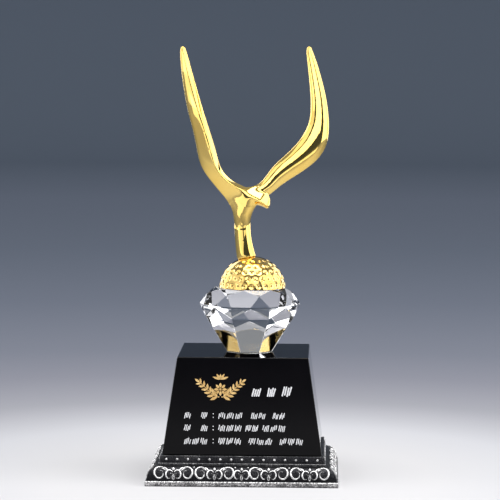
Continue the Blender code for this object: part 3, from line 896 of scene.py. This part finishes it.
@dataclass
class Engraving:
    """What is painted on the block's front: rows of slanting strokes and a leafy ornament, all generic."""

    block: GlassBlock
    thickness: float = 0.14 * MM
    stroke_share: float = 0.15
    cell: float = 4.9 * MM
    strokes_a_cell: int = 4
    first_stroke: float = 0.6
    stroke_room: float = 0.84
    shortest: float = 0.7
    slant: float = radians(-13.0)
    wobble_degrees: float = 4.0
    seed: int = 7
    # Each row in millimetres: height of its middle and of its strokes, start and end of each group
    rows: tuple[tuple[float, float, tuple[tuple[float, float], ...]], ...] = (
        (59.2, 6.7, ((5.9, 12.4), (15.6, 21.4), (24.9, 31.8))),
        (43.7, 4.1, ((-36.7, -31.9), (-26.1, -21.4), (-15.3, 0.8), (5.4, 15.2), (19.2, 27.3))),
        (35.8, 4.2, ((-36.8, -31.9), (-26.1, -21.2), (-15.2, 0.2), (1.9, 10.6), (12.6, 27.8))),
        (27.5, 4.3, ((-36.8, -21.3), (-15.2, 0.0), (4.0, 19.5), (23.5, 39.0))),
    )
    dots: tuple[tuple[float, float], ...] = ((-18.3, 43.7), (-18.3, 35.8), (-18.3, 27.5))
    dot: float = 0.7 * MM
    dot_height: float = 0.735 * MM
    dot_spread: float = 1.1 * MM
    ornament_middle: float = -13.9 * MM
    ornament_height: float = 60.3 * MM
    # The rosette: its petals' start, their length and width, and the height and width of its boss
    petals: int = 8
    petal_root: float = 1.066 * MM
    petal_size: tuple[float, float] = (3.034 * MM, 1.722 * MM)
    boss: tuple[float, float] = (1.476 * MM, 1.394 * MM)
    spray_reach: float = 15.4 * MM
    spray_rise: float = 5.2 * MM
    spray_lift: float = 0.4 * MM
    spray_start: float = 0.06
    spray_share: float = 0.80
    spray_bend: float = radians(140.4)
    spray_leaves: int = 6
    stalk: float = 0.55 * MM
    # Length and width of a branch's first leaves and of the one at its tip, and how far leaves lean out
    leaf_size: tuple[float, float] = (5.0 * MM, 1.9 * MM)
    leaf_shrink: float = 0.35
    leaf_lean: float = radians(42.0)
    tip_size: tuple[float, float] = (3.6 * MM, 1.5 * MM)
    leaf_corners: int = 14
    leaf_blunt: float = 0.35
    crest_height: float = 66.6 * MM
    crest_leaves: int = 5
    crest_fan: float = radians(36.0)
    crest_leaf: tuple[float, float] = (3.4 * MM, 1.5 * MM)
    crest_growth: float = 0.9 * MM

    def slab(self, shape: BMesh, outline: list[Vector]) -> None:
        """Adds a thin plate with this outline, in the front's own frame.

        Args:
            shape: the shape that receives it.
            outline: its corners, counter-clockwise.
        """
        plate = bmesh.new()
        bmesh.ops.create_circle(plate, cap_ends=True, segments=len(outline), radius=1.0)
        face = next(iter(plate.faces))
        for vert, corner in zip(face.verts, outline):
            vert.co = corner
        top = raise_face(plate, face)
        bmesh.ops.translate(plate, verts=list(top.verts), vec=(0.0, 0.0, self.thickness))
        bmesh.ops.recalc_face_normals(plate, faces=plate.faces[:])
        add_to(shape, plate)
        plate.free()

    def bar(self, shape: BMesh, middle: Vector, length: float, width: float, turn: float) -> None:
        """Adds one straight stroke with round ends.

        Args:
            shape: the shape that receives it.
            middle: its middle, in the front's own frame.
            length: from end to end.
            width: across.
            turn: its slant from upright, in radians.
        """
        half = (length - width) / 2
        outline = []
        for index in range(8):
            angle = (index + 0.5) * tau / 8
            across, up = cos(angle) * width / 2, sin(angle) * width / 2
            corner = Vector((across, up + copysign(half, up), 0.0))
            outline.append(middle + Matrix.Rotation(turn, 3, "Z") @ corner)
        self.slab(shape, outline)

    def leaf(self, shape: BMesh, root: Vector, turn: float, length: float, width: float) -> None:
        """Adds one pointed leaf.

        Args:
            shape: the shape that receives it.
            root: where it starts, in the front's own frame.
            turn: the way it points, in radians from straight up.
            length: from root to tip.
            width: its greatest width.
        """
        outline = []
        for index in range(self.leaf_corners):
            angle = index * tau / self.leaf_corners
            up = (1.0 - cos(angle)) / 2
            fullness = self.leaf_blunt + (1.0 - self.leaf_blunt) * sin(up * pi)
            side = sin(angle) * fullness * width / 2
            outline.append(root + Matrix.Rotation(turn, 3, "Z") @ Vector((side, up * length, 0.0)))
        self.slab(shape, outline)

    def strokes(self) -> bpy.types.Object:
        """Builds the rows of strokes.

        Returns:
            The strokes, as one piece.
        """
        chance = random.Random(self.seed)
        shape = bmesh.new()
        for height, tall, groups in self.rows:
            tall *= MM
            for start, end in groups:
                cells = max(1, round((end - start) * MM / self.cell))
                width = (end - start) * MM / cells
                pitch = width * self.stroke_room / self.strokes_a_cell
                for index in range(cells * self.strokes_a_cell):
                    cell, place = divmod(index, self.strokes_a_cell)
                    across = start * MM + cell * width + (place + self.first_stroke) * pitch
                    length = tall * chance.uniform(self.shortest, 1.0)
                    rise = height * MM + (tall - length) * chance.choice((-0.5, 0.5))
                    slant = self.slant + radians(chance.uniform(-self.wobble_degrees, self.wobble_degrees))
                    self.bar(shape, Vector((across, rise, 0.0)), length, tall * self.stroke_share, slant)
        for across, height in self.dots:
            for sign in (-1, 1):
                place = Vector((across * MM, height * MM + sign * self.dot_spread, 0.0))
                self.bar(shape, place, self.dot_height, self.dot, 0.0)
        bmesh.ops.transform(shape, matrix=self.block.front(), verts=shape.verts[:])
        return finish_piece(shape, "inscription_strokes", WHITE_PAINT.make(), sharp=30.0)

    def spray(self, shape: BMesh, middle: Vector, hand: int) -> None:
        """Adds one leafy branch that sweeps out and up from under the rosette.

        Args:
            shape: the shape that receives it.
            middle: the rosette's middle.
            hand: 1 to the right, -1 to the left.
        """
        places = []
        steps = 2 * self.spray_leaves
        for index in range(steps + 1):
            share = index / steps
            run = self.spray_reach * (self.spray_start + self.spray_share * share)
            rise = self.spray_lift - self.spray_rise * cos(share * self.spray_bend)
            places.append(middle + Vector((hand * run, rise, 0.0)))
        for index, (place, after) in enumerate(zip(places, places[1:])):
            way = after - place
            turn = -atan2(way.x, way.y)
            self.bar(shape, (place + after) / 2, way.length + self.stalk, self.stalk, turn)
            if index % 2:
                size = 1.0 - self.leaf_shrink * index / steps
                length, width = (size * value for value in self.leaf_size)
                for lean in (-self.leaf_lean, self.leaf_lean):
                    self.leaf(shape, place, turn + lean, length, width)
        self.leaf(shape, places[-1], turn, *self.tip_size)

    def ornament(self) -> bpy.types.Object:
        """Builds two leafy branches about a rosette, with a small fan of leaves over it.

        Returns:
            The ornament, as one piece.
        """
        shape = bmesh.new()
        middle = Vector((self.ornament_middle, self.ornament_height, 0.0))
        for index in range(self.petals):
            turn = index * tau / self.petals
            root = middle + Matrix.Rotation(turn, 3, "Z") @ Vector((0.0, self.petal_root, 0.0))
            self.leaf(shape, root, turn, *self.petal_size)
        self.bar(shape, middle, *self.boss, 0.0)
        for hand in (-1, 1):
            self.spray(shape, middle, hand)
        crest = Vector((self.ornament_middle, self.crest_height, 0.0))
        outermost = (self.crest_leaves - 1) / 2
        for index in range(self.crest_leaves):
            side = index - outermost
            length, width = self.crest_leaf
            self.leaf(shape, crest, -self.crest_fan * side, length + self.crest_growth * abs(side), width)
        bmesh.ops.transform(shape, matrix=self.block.front(), verts=shape.verts[:])
        return finish_piece(shape, "gilt_ornament", LEAF_GOLD.make(), sharp=30.0)


# The cast base


def rubbed(proud: float, least: float, power: float) -> float:
    """Wear of relief: the least where it lies deep, and 1 where it stands out fully."""
    return least + (1.0 - least) * min(1.0, max(0.0, proud)) ** power


@dataclass
class CastBase:
    """The antique silver base: a slab, a convex band with scrolls, a fillet and a strip with beads."""

    slab: float = 3.3 * MM
    chamfer: float = 0.35 * MM
    ledge: float = 1.1 * MM
    band_reach: float = 7.0 * MM
    band_height: float = 8.9 * MM
    band_steps: int = 20
    # The band's value at its foot, and how much it rises towards the band's top
    band_tone_range: tuple[float, float] = (0.05, 0.36)
    groove: float = 0.35 * MM
    fillet: float = 1.5 * MM
    setback: float = 1.0 * MM
    bead: float = 2.1 * MM
    bead_pitch: float = 6.7 * MM
    bead_margin: float = 4.0 * MM
    bead_wear: tuple[float, float] = (0.15, 0.8)
    module: float = 25.3 * MM
    lyre: float = 8.2 * MM
    end_inset: float = 5.0 * MM
    scroll_across: float = 3.7 * MM
    scroll_up: float = 4.5 * MM
    scroll_place: float = 5.3 * MM
    scroll_gap: float = 0.55 * MM
    curl_across: float = 2.45 * MM
    curl_up: float = 3.2 * MM
    curl_place: float = 4.0 * MM
    curl_spread: float = 1.02
    # Points along and up in millimetres, with the share of the strand's half width there
    tail: Path = (
        (0.0, 0.0, 0.5), (1.2, -0.35, 0.85), (2.4, -1.1, 0.9), (3.4, -2.2, 0.7), (4.0, -3.3, 0.35),
    )
    leaf: Path = ((-0.6, -0.9, 0.4), (0.6, -1.2, 0.7), (1.7, -1.9, 0.65), (2.4, -2.9, 0.3))
    stalk: Path = (
        (0.0, 0.75, 0.5), (-0.5, 1.7, 0.6), (-0.6, 2.7, 0.62), (-0.1, 3.9, 0.55), (0.9, 5.0, 0.35),
    )
    tail_across: float = 1.3 * MM
    tail_up: float = 0.93
    drop_place: float = 8.3 * MM
    drop_size: tuple[float, float] = (2.0 * MM, 2.9 * MM)
    dot_place: float = 9.6 * MM
    dot: float = 1.3 * MM
    strand: float = 0.78 * MM
    thinnest: float = 0.45
    eye_swell: float = 0.9
    wind_from: float = 0.25
    strand_sides: int = 8
    sink: float = 0.10 * MM
    bright_from: float = 0.55
    relief_wear: tuple[float, float] = (0.10, 1.3)
    arc_steps: int = 60
    low: Vector = field(init=False)
    high: Vector = field(init=False)
    arc: list[tuple[float, float]] = field(init=False)

    def __post_init__(self) -> None:
        """Takes the base's size from the frame and measures the band's rounded section."""
        self.low, self.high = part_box("cast_base")
        length = 0.0
        before = self.band(0.0)
        self.arc = [(0.0, 0.0)]
        for index in range(1, self.arc_steps + 1):
            angle = index / self.arc_steps * pi / 2
            here = self.band(angle)
            length += hypot(here[0] - before[0], here[1] - before[1])
            self.arc.append((length, angle))
            before = here

    def band(self, angle: float) -> tuple[float, float]:
        """The band's inset and height at a place round its section, from 0 to a quarter turn on top."""
        return self.ledge + self.band_reach * (1.0 - cos(angle)), self.slab + self.band_height * sin(angle)

    def angle_at(self, length: float) -> float:
        """The place round the band's section at a distance up it.

        Args:
            length: the distance along the surface from the band's foot.

        Returns:
            The angle that band() takes.
        """
        for (start, first), (end, second) in zip(self.arc, self.arc[1:]):
            if length <= end:
                return first + (second - first) * (length - start) / (end - start)
        return pi / 2

    def wrap(self, shape: BMesh, side: Side) -> None:
        """Bends flat relief onto the band of one side.

        Args:
            shape: relief whose x runs along the side, y up the band and z out of its surface.
            side: the side it goes on.
        """
        reach = self.half_sizes(side)[1]
        for vert in shape.verts:
            run, rise, proud = vert.co
            angle = self.angle_at(rise)
            inset, height = self.band(angle)
            lean = Vector((cos(angle) / self.band_reach, sin(angle) / self.band_height)).normalized()
            out = reach - inset + proud * lean.x
            vert.co = side.along * run + side.out * out + Vector((0.0, 0.0, height + proud * lean.y))

    def half_sizes(self, side: Side) -> tuple[float, float]:
        """Half the slab's length along a side, and the distance out to that side."""
        return (self.high.y, self.high.x) if side.value % 2 else (self.high.x, self.high.y)

    def body(self) -> BMesh:
        """Builds the moulded body by raising its underside level by level.

        Returns:
            The closed body, with a value per level in its wear attribute.
        """
        steps = [self.band(index / self.band_steps * pi / 2) for index in range(self.band_steps + 1)]
        band_top = self.slab + self.band_height
        fillet_top = band_top + self.fillet
        inner = self.ledge + self.band_reach
        strip = inner + self.setback
        # Height, inset and value for the wear attribute of each level; each face comes out darker towards its
        # foot and lighter towards its top
        levels = [
            (0.0, self.chamfer, 0.30), (self.chamfer, 0.0, 0.48), (self.slab * 0.3, 0.0, 0.68),
            (self.slab * 0.75, 0.0, 0.74), (self.slab - self.chamfer, 0.0, 0.80),
            (self.slab, self.chamfer, 0.6), (self.slab, self.ledge * 0.7, 0.2),
        ]
        for index, (inset, height) in enumerate(steps):
            share = index / self.band_steps
            levels.append((height, inset, self.band_tone_range[0] + self.band_tone_range[1] * share ** 3))
        levels += [
            (band_top + self.groove, inner, 0.34),
            (fillet_top - self.groove, inner - 0.1 * MM, 0.42), (fillet_top, inner + 0.15 * MM, 0.46),
            (fillet_top, strip - 0.2 * MM, 0.3), (fillet_top + 0.1 * MM, strip, 0.12),
            (self.high.z - 0.5 * MM, strip, 0.26),
            (self.high.z - 0.12 * MM, strip, 0.4), (self.high.z, strip + 0.12 * MM, 0.4),
        ]
        shape = bmesh.new()
        wear = shape.verts.layers.float.new("wear")
        bmesh.ops.create_grid(shape, x_segments=1, y_segments=1, size=1.0)
        top = next(iter(shape.faces))
        for index, (height, inset, level_tone) in enumerate(levels):
            if index:
                top = raise_face(shape, top)
            for vert in top.verts:
                across = copysign(self.high.x - inset, vert.co.x)
                vert.co = (across, copysign(self.high.y - inset, vert.co.y), height)
                vert[wear] = level_tone
        bmesh.ops.recalc_face_normals(shape, faces=shape.faces[:])
        return shape

    def strand_along(self, path: list[tuple[float, float]], radii: list[float]) -> BMesh:
        """Draws one raised strand along a path on the flat.

        Args:
            path: its middle line, along and up.
            radii: its half width at each point.

        Returns:
            The strand, rounded and closed.
        """
        rings = []
        last = len(path) - 1
        for index, ((run, rise), radius) in enumerate(zip(path, radii)):
            before = path[max(0, index - 1)]
            after = path[min(last, index + 1)]
            heading = Vector((after[0] - before[0], after[1] - before[1], 0.0)).normalized()
            across = Vector((-heading.y, heading.x, 0.0))
            middle = Vector((run, rise, -self.sink))
            ring = []
            for corner in range(self.strand_sides):
                angle = (corner + 0.5) * tau / self.strand_sides
                ring.append(middle + across * cos(angle) * radius + Vector((0.0, 0.0, sin(angle) * radius)))
            rings.append(ring)
        return sweep(rings)[0]

    def thread(self, path: Path, start: tuple[float, float] = (0.0, 0.0)) -> BMesh:
        """Draws a strand through a path that is given in millimetres from a start."""
        places = [(start[0] + along * MM, start[1] + up * MM) for along, up, _ in path]
        return self.strand_along(places, [self.strand * share for _, _, share in path])

    def curl(self, middle: tuple[float, float], size: tuple[float, float], start: float, turn: float,
             wind: float, points: int, swell: float) -> BMesh:
        """Draws a scroll that winds in.

        Args:
            middle: its eye, along and up.
            size: its outer reach along and up.
            start: the angle that it starts at.
            turn: the angle that it sweeps.
            wind: the share of its size that is left at its inner end.
            points: how many points it has.
            swell: its half width at its fullest, as a share of the strand's.

        Returns:
            The scroll.
        """
        path = []
        radii = []
        for index in range(points):
            share = index / (points - 1)
            angle = start + turn * share
            reach = 1.0 - (1.0 - wind) * max(0.0, share - self.wind_from) / (1.0 - self.wind_from)
            path.append((middle[0] + size[0] * reach * cos(angle), middle[1] + size[1] * reach * sin(angle)))
            fullness = self.thinnest + (1.0 - self.thinnest) * sin(pi * min(1.0, share * 1.25 + 0.12))
            radii.append(self.strand * swell * fullness)
        radii[-1] = self.strand * self.eye_swell
        return self.strand_along(path, radii)

    def half_motif(self) -> BMesh:
        """Builds one half of a motif about 0: a large scroll, its leafy tail and a small leaf.

        Returns:
            The half that lies at negative x.
        """
        eye = (self.scroll_across + self.scroll_gap - self.module / 2, self.scroll_place)
        size = (self.scroll_across, self.scroll_up)
        start = (eye[0] + self.tail_across, eye[1] + self.scroll_up * self.tail_up)
        scroll = self.curl(
            eye, size, start=radians(62), turn=radians(415), wind=0.26, points=34, swell=1.0,
        )
        return gather([scroll, self.thread(self.tail, start), self.thread(self.leaf, start)])

    def lyre_half(self) -> BMesh:
        """Builds the left curl of a lyre about 0.

        Returns:
            The curl, with a short stalk that crosses the middle.
        """
        eye = (-self.curl_across * self.curl_spread, self.curl_place)
        size = (self.curl_across, self.curl_up)
        curl = self.curl(
            eye, size, start=radians(35), turn=radians(375), wind=0.42, points=24, swell=0.82,
        )
        return gather([curl, self.thread(self.stalk)])

    def drop(self, middle: tuple[float, float], width: float, height: float) -> BMesh:
        """Builds a bright drop on the flat.

        Args:
            middle: its place, along and up.
            width: its width.
            height: its height.

        Returns:
            The drop.
        """
        shape = bmesh.new()
        place = Matrix.Translation((*middle, 0.0)) @ Matrix.Diagonal((width / 2, height / 2, width / 2, 1.0))
        bmesh.ops.create_icosphere(shape, subdivisions=2, radius=1.0, matrix=place)
        return shape

    def relief_of(self, side: Side) -> BMesh:
        """Lays out the scrolls of one side on the flat, with their wear.

        Args:
            side: the side.

        Returns:
            The relief, still flat.
        """
        lyre, motif = self.lyre_half(), self.half_motif()
        for half in (lyre, motif):
            add_to(half, half, Matrix.Diagonal((-1.0, 1.0, 1.0, 1.0)))
        lyre = gather([lyre, self.drop((0.0, self.drop_place), *self.drop_size)])
        add_to(motif, lyre)
        room = self.half_sizes(side)[0] - self.end_inset - self.lyre / 2
        pairs = max(1, round(room / self.module))
        pitch = room / pairs
        squeeze = Matrix.Diagonal((min(1.0, pitch / self.module), 1.0, 1.0, 1.0))
        parts = [lyre]
        for index in range(pairs):
            for hand in (-1, 1):
                place = Vector((hand * (self.lyre / 2 + pitch * (index + 0.5)), 0.0, 0.0))
                scrolls = bmesh.new()
                add_to(scrolls, motif, Matrix.Translation(place) @ squeeze)
                edge = hand * (self.lyre / 2 + pitch * index)
                parts += [scrolls, self.drop((edge, self.dot_place), self.dot, self.dot)]
        motif.free()
        shape = gather(parts)
        wear = shape.verts.layers.float.new("wear")
        for vert in shape.verts:
            proud = vert.co.z / (self.strand - self.sink) / self.bright_from
            vert[wear] = rubbed(proud, *self.relief_wear)
        return shape

    def beads(self) -> BMesh:
        """Builds the rows of beads on the strip.

        Returns:
            The beads, with their wear.
        """
        shape = bmesh.new()
        wear = shape.verts.layers.float.new("wear")
        foot = self.slab + self.band_height + self.fillet
        middle = Vector((0.0, 0.0, (foot + self.high.z) / 2))
        strip = self.ledge + self.band_reach + self.setback
        for side in Side:
            half, out = self.half_sizes(side)
            room = 2 * (half - strip - self.bead_margin)
            count = round(room / self.bead_pitch) + 1
            for index in range(count):
                run = (index / (count - 1) - 0.5) * room
                place = Matrix.Translation(side.along * run + side.out * (out - strip) + middle)
                bead = bmesh.ops.create_icosphere(shape, subdivisions=2, radius=self.bead / 2, matrix=place)
                for vert in bead["verts"]:
                    proud = ((vert.co - place.translation) @ side.out) / (self.bead / 2)
                    vert[wear] = rubbed(proud, *self.bead_wear)
        return shape

    def build(self) -> list[bpy.types.Object]:
        """Builds the body, the scrolls of the four sides and the beads.

        Returns:
            The three pieces.
        """
        silver = ANTIQUE_SILVER.make()
        body = finish_piece(self.body(), "moulded_base", silver, sharp=30.0)
        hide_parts("cast_base")
        reliefs = {side: self.relief_of(side) for side in Side}
        for side, relief in reliefs.items():
            self.wrap(relief, side)
        scrolls = gather([*reliefs.values()])
        relief = finish_piece(scrolls, "scroll_relief", silver, sharp=50.0)
        beads = finish_piece(self.beads(), "bead_rows", silver, sharp=60.0)
        return [body, relief, beads]


# The studio


@dataclass(frozen=True)
class SoftBox:
    """A soft light that faces the object, its direction an azimuth from the front and a height in degrees."""

    name: str
    direction: tuple[float, float]
    distance: float
    size: tuple[float, float]
    radiance: float
    reflected_only: bool = False
    through_only: bool = False
    both_sides: bool = False

    def hang(self, centre: Vector, hand: int) -> bpy.types.Object:
        """Adds the light to the scene.

        Args:
            centre: the point that it faces.
            hand: 1 for its own side, -1 for the other one.

        Returns:
            The light.
        """
        azimuth, rise = radians(self.direction[0] * hand), radians(self.direction[1])
        way = Vector((sin(azimuth) * cos(rise), -cos(azimuth) * cos(rise), sin(rise)))
        data = bpy.data.lights.new(self.name, "AREA")
        data.shape = "RECTANGLE"
        data.size, data.size_y = self.size
        data.energy = self.radiance * pi * self.size[0] * self.size[1]
        lamp = bpy.data.objects.new(self.name, data)
        bpy.context.scene.collection.objects.link(lamp)
        lamp.location = centre + way * self.distance
        lamp.rotation_euler = way.to_track_quat("Z", "Y").to_euler()
        lamp.visible_camera = False
        lamp.visible_diffuse = not (self.reflected_only or self.through_only)
        lamp.visible_glossy = not self.through_only
        return lamp


@dataclass
class Studio:
    """Floor, lights and camera."""

    centre: Vector = field(default_factory=lambda: Vector((3.0, 0.0, 145.6)) * MM)
    distance: float = 1.62
    turn: float = radians(0.7)
    pitch: float = radians(4.7)
    roll: float = radians(0.45)
    side_step: float = 29.0 * MM
    focal_pixels: float = 2520.0
    image_pixels: float = 500.0
    sensor: float = 36.0
    floor_radius: float = 5.0
    floor_middle: float = 0.5
    floor_roughness: float = 0.9
    wall_height: float = 2.2
    wall_bend: float = 0.8
    bend_steps: int = 8
    turn_steps: int = 64
    room_light: float = 0.35
    room_tone: Colour = (0.93, 0.96, 1.0)
    clip: float = 0.05
    # Distance from the object in metres, and the floor's colour there; the colours paint a pool of light,
    # pale about the object and darker away from it
    light_pool_tones: tuple[tuple[float, Colour], ...] = (
        (0.00, (0.76, 0.75, 0.76)), (0.12, (0.73, 0.72, 0.73)), (0.21, (0.64, 0.64, 0.67)),
        (0.34, (0.39, 0.39, 0.43)), (0.49, (0.30, 0.305, 0.355)), (0.66, (0.255, 0.27, 0.325)),
        (1.1, (0.235, 0.26, 0.325)), (1.8, (0.25, 0.285, 0.36)), (2.9, (0.30, 0.34, 0.43)),
        (4.5, (0.28, 0.33, 0.41)),
    )
    # The painted pool of light reaches further out in front of the object: distances count for this share
    # there
    light_pool_front_share: float = 0.5
    light_pool_front_from: float = 0.35
    boxes: tuple[SoftBox, ...] = (
        SoftBox("top_box", (0.0, 78.0), 1.5, (1.4, 1.1), 4.2),
        SoftBox("left_box", (-66.0, 22.0), 1.3, (1.5, 1.35), 1.0),
        SoftBox("right_box", (66.0, 22.0), 1.3, (1.4, 1.35), 2.2),
        SoftBox("far_box", (114.0, 10.0), 1.4, (0.60, 1.2), 2.4, reflected_only=True, both_sides=True),
        SoftBox("back_box", (146.0, 14.0), 1.4, (0.55, 1.1), 2.4, reflected_only=True, both_sides=True),
        SoftBox("wing_card", (-44.0, 8.5), 0.45, (0.30, 0.175), 0.95, reflected_only=True),
        SoftBox("chest_card", (-28.0, -3.7), 0.45, (0.42, 0.05), 1.1, reflected_only=True),
        SoftBox("stem_card", (21.0, -3.3), 0.45, (0.22, 0.045), 1.1, reflected_only=True),
        SoftBox("high_box", (166.0, 38.0), 1.4, (0.42, 0.5), 1.6, through_only=True, both_sides=True),
        SoftBox("front_card", (4.0, 26.0), 0.50, (0.34, 0.22), 2.4, reflected_only=True),
    )

    def stage(self) -> bpy.types.Object:
        """Turns a floor that rises into a round wall; its material paints a pool of light about the object.

        Returns:
            The stage.
        """
        flat = self.floor_radius - self.wall_bend
        profile = [(0.0, 0.0), (self.floor_middle, 0.0), (flat, 0.0)]
        for index in range(1, self.bend_steps + 1):
            angle = index / self.bend_steps * pi / 2
            profile.append((flat + self.wall_bend * sin(angle), self.wall_bend * (1.0 - cos(angle))))
        profile.append((self.floor_radius, self.wall_height))
        shape = bmesh.new()
        verts = [shape.verts.new((reach, 0.0, height)) for reach, height in profile]
        edges = [shape.edges.new(pair) for pair in zip(verts, verts[1:])]
        bmesh.ops.spin(
            shape, geom=[*verts, *edges], cent=(0.0, 0.0, 0.0), axis=(0.0, 0.0, 1.0), angle=tau,
            steps=self.turn_steps, use_merge=True,
        )
        bmesh.ops.remove_doubles(shape, verts=shape.verts[:], dist=MERGE)
        floor = new_object(shape, "studio_floor")
        floor.data.shade_smooth()
        floor.data.materials.append(self.floor_with_painted_light())
        floor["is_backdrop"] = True
        return floor

    def floor_with_painted_light(self) -> bpy.types.Material:
        """The floor's material, with a painted pool of light: pale about the object and darker away from it.

        Returns:
            The material.
        """
        material, tree, shader = blank_material("studio_floor")
        place = tree.add("ShaderNodeTexCoord").outputs["Object"]
        depth = tree.add("ShaderNodeSeparateXYZ", {"Vector": place}).outputs["Y"]
        near, far = self.light_pool_front_share / self.floor_radius, 1.0 / self.floor_radius
        scale = tree.spread(depth, near, far, -self.light_pool_front_from, 0.0)
        length = tree.add("ShaderNodeVectorMath", {0: place}, operation="LENGTH").outputs["Value"]
        root = tree.math("POWER", tree.math("MULTIPLY", length, scale), 0.5)
        # Painted pool of light: the ramp runs from pale at the object to darker further out
        stops = [((distance / self.floor_radius) ** 0.5, tone) for distance, tone in self.light_pool_tones]
        tree.tree.links.new(tree.ramp(root, stops), shader.inputs["Base Color"])
        shader.inputs["Roughness"].default_value = self.floor_roughness
        shader.inputs["Specular IOR Level"].default_value = 0.0
        return material

    def lights(self) -> None:
        """Hangs the soft boxes and lights the room."""
        for box in self.boxes:
            for hand in (-1, 1) if box.both_sides else (1,):
                box.hang(self.centre, hand)
        world = bpy.data.worlds.new("studio")
        bpy.context.scene.world = world
        world.use_nodes = True
        background = world.node_tree.nodes["Background"]
        background.inputs["Color"].default_value = (*self.room_tone, 1.0)
        background.inputs["Strength"].default_value = self.room_light

    def camera(self) -> bpy.types.Object:
        """Sets the camera at the photograph's viewing angle.

        Returns:
            The camera.
        """
        level = cos(self.pitch)
        back = Vector((sin(self.turn) * level, -cos(self.turn) * level, sin(self.pitch)))
        right = Vector((cos(self.turn), sin(self.turn), 0.0))
        up = back.cross(right)
        data = bpy.data.cameras.new("camera")
        data.sensor_width = self.sensor
        data.lens = self.focal_pixels / self.image_pixels * self.sensor
        data.shift_x = -self.focal_pixels * self.side_step / self.distance / self.image_pixels
        data.clip_start = self.clip
        camera = bpy.data.objects.new("camera", data)
        bpy.context.scene.collection.objects.link(camera)
        place = self.centre + back * self.distance + right * self.side_step
        turn = Matrix((right, up, back)).transposed().to_4x4()
        camera.matrix_world = Matrix.Translation(place) @ turn @ Matrix.Rotation(self.roll, 4, "Z")
        bpy.context.scene.camera = camera
        return camera

    def build(self) -> None:
        """Sets up the floor, the lights, the camera and the picture's tone."""
        self.stage()
        self.lights()
        self.camera()
        bpy.context.scene.view_settings.view_transform = "Standard"


def write_sizes(before: tuple, after: tuple) -> None:
    """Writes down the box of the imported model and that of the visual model.

    Args:
        before: lowest and highest corner straight after the frame is loaded.
        after: the same, with every piece built.
    """
    for corner in (*before, *after):
        LOG.info("box corner %s mm", [round(value / MM, 2) for value in corner])


def main() -> None:
    """Builds the trophy piece by piece, and the studio about it."""
    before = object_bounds()
    block = GlassBlock()
    engraving = Engraving(block)
    CastBase().build()
    block.build()
    engraving.strokes()
    engraving.ornament()
    Crystal().build()
    GolfBall().build()
    Bird().build()
    Studio().build()
    write_sizes(before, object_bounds())


if __name__ == "__main__":
    main()
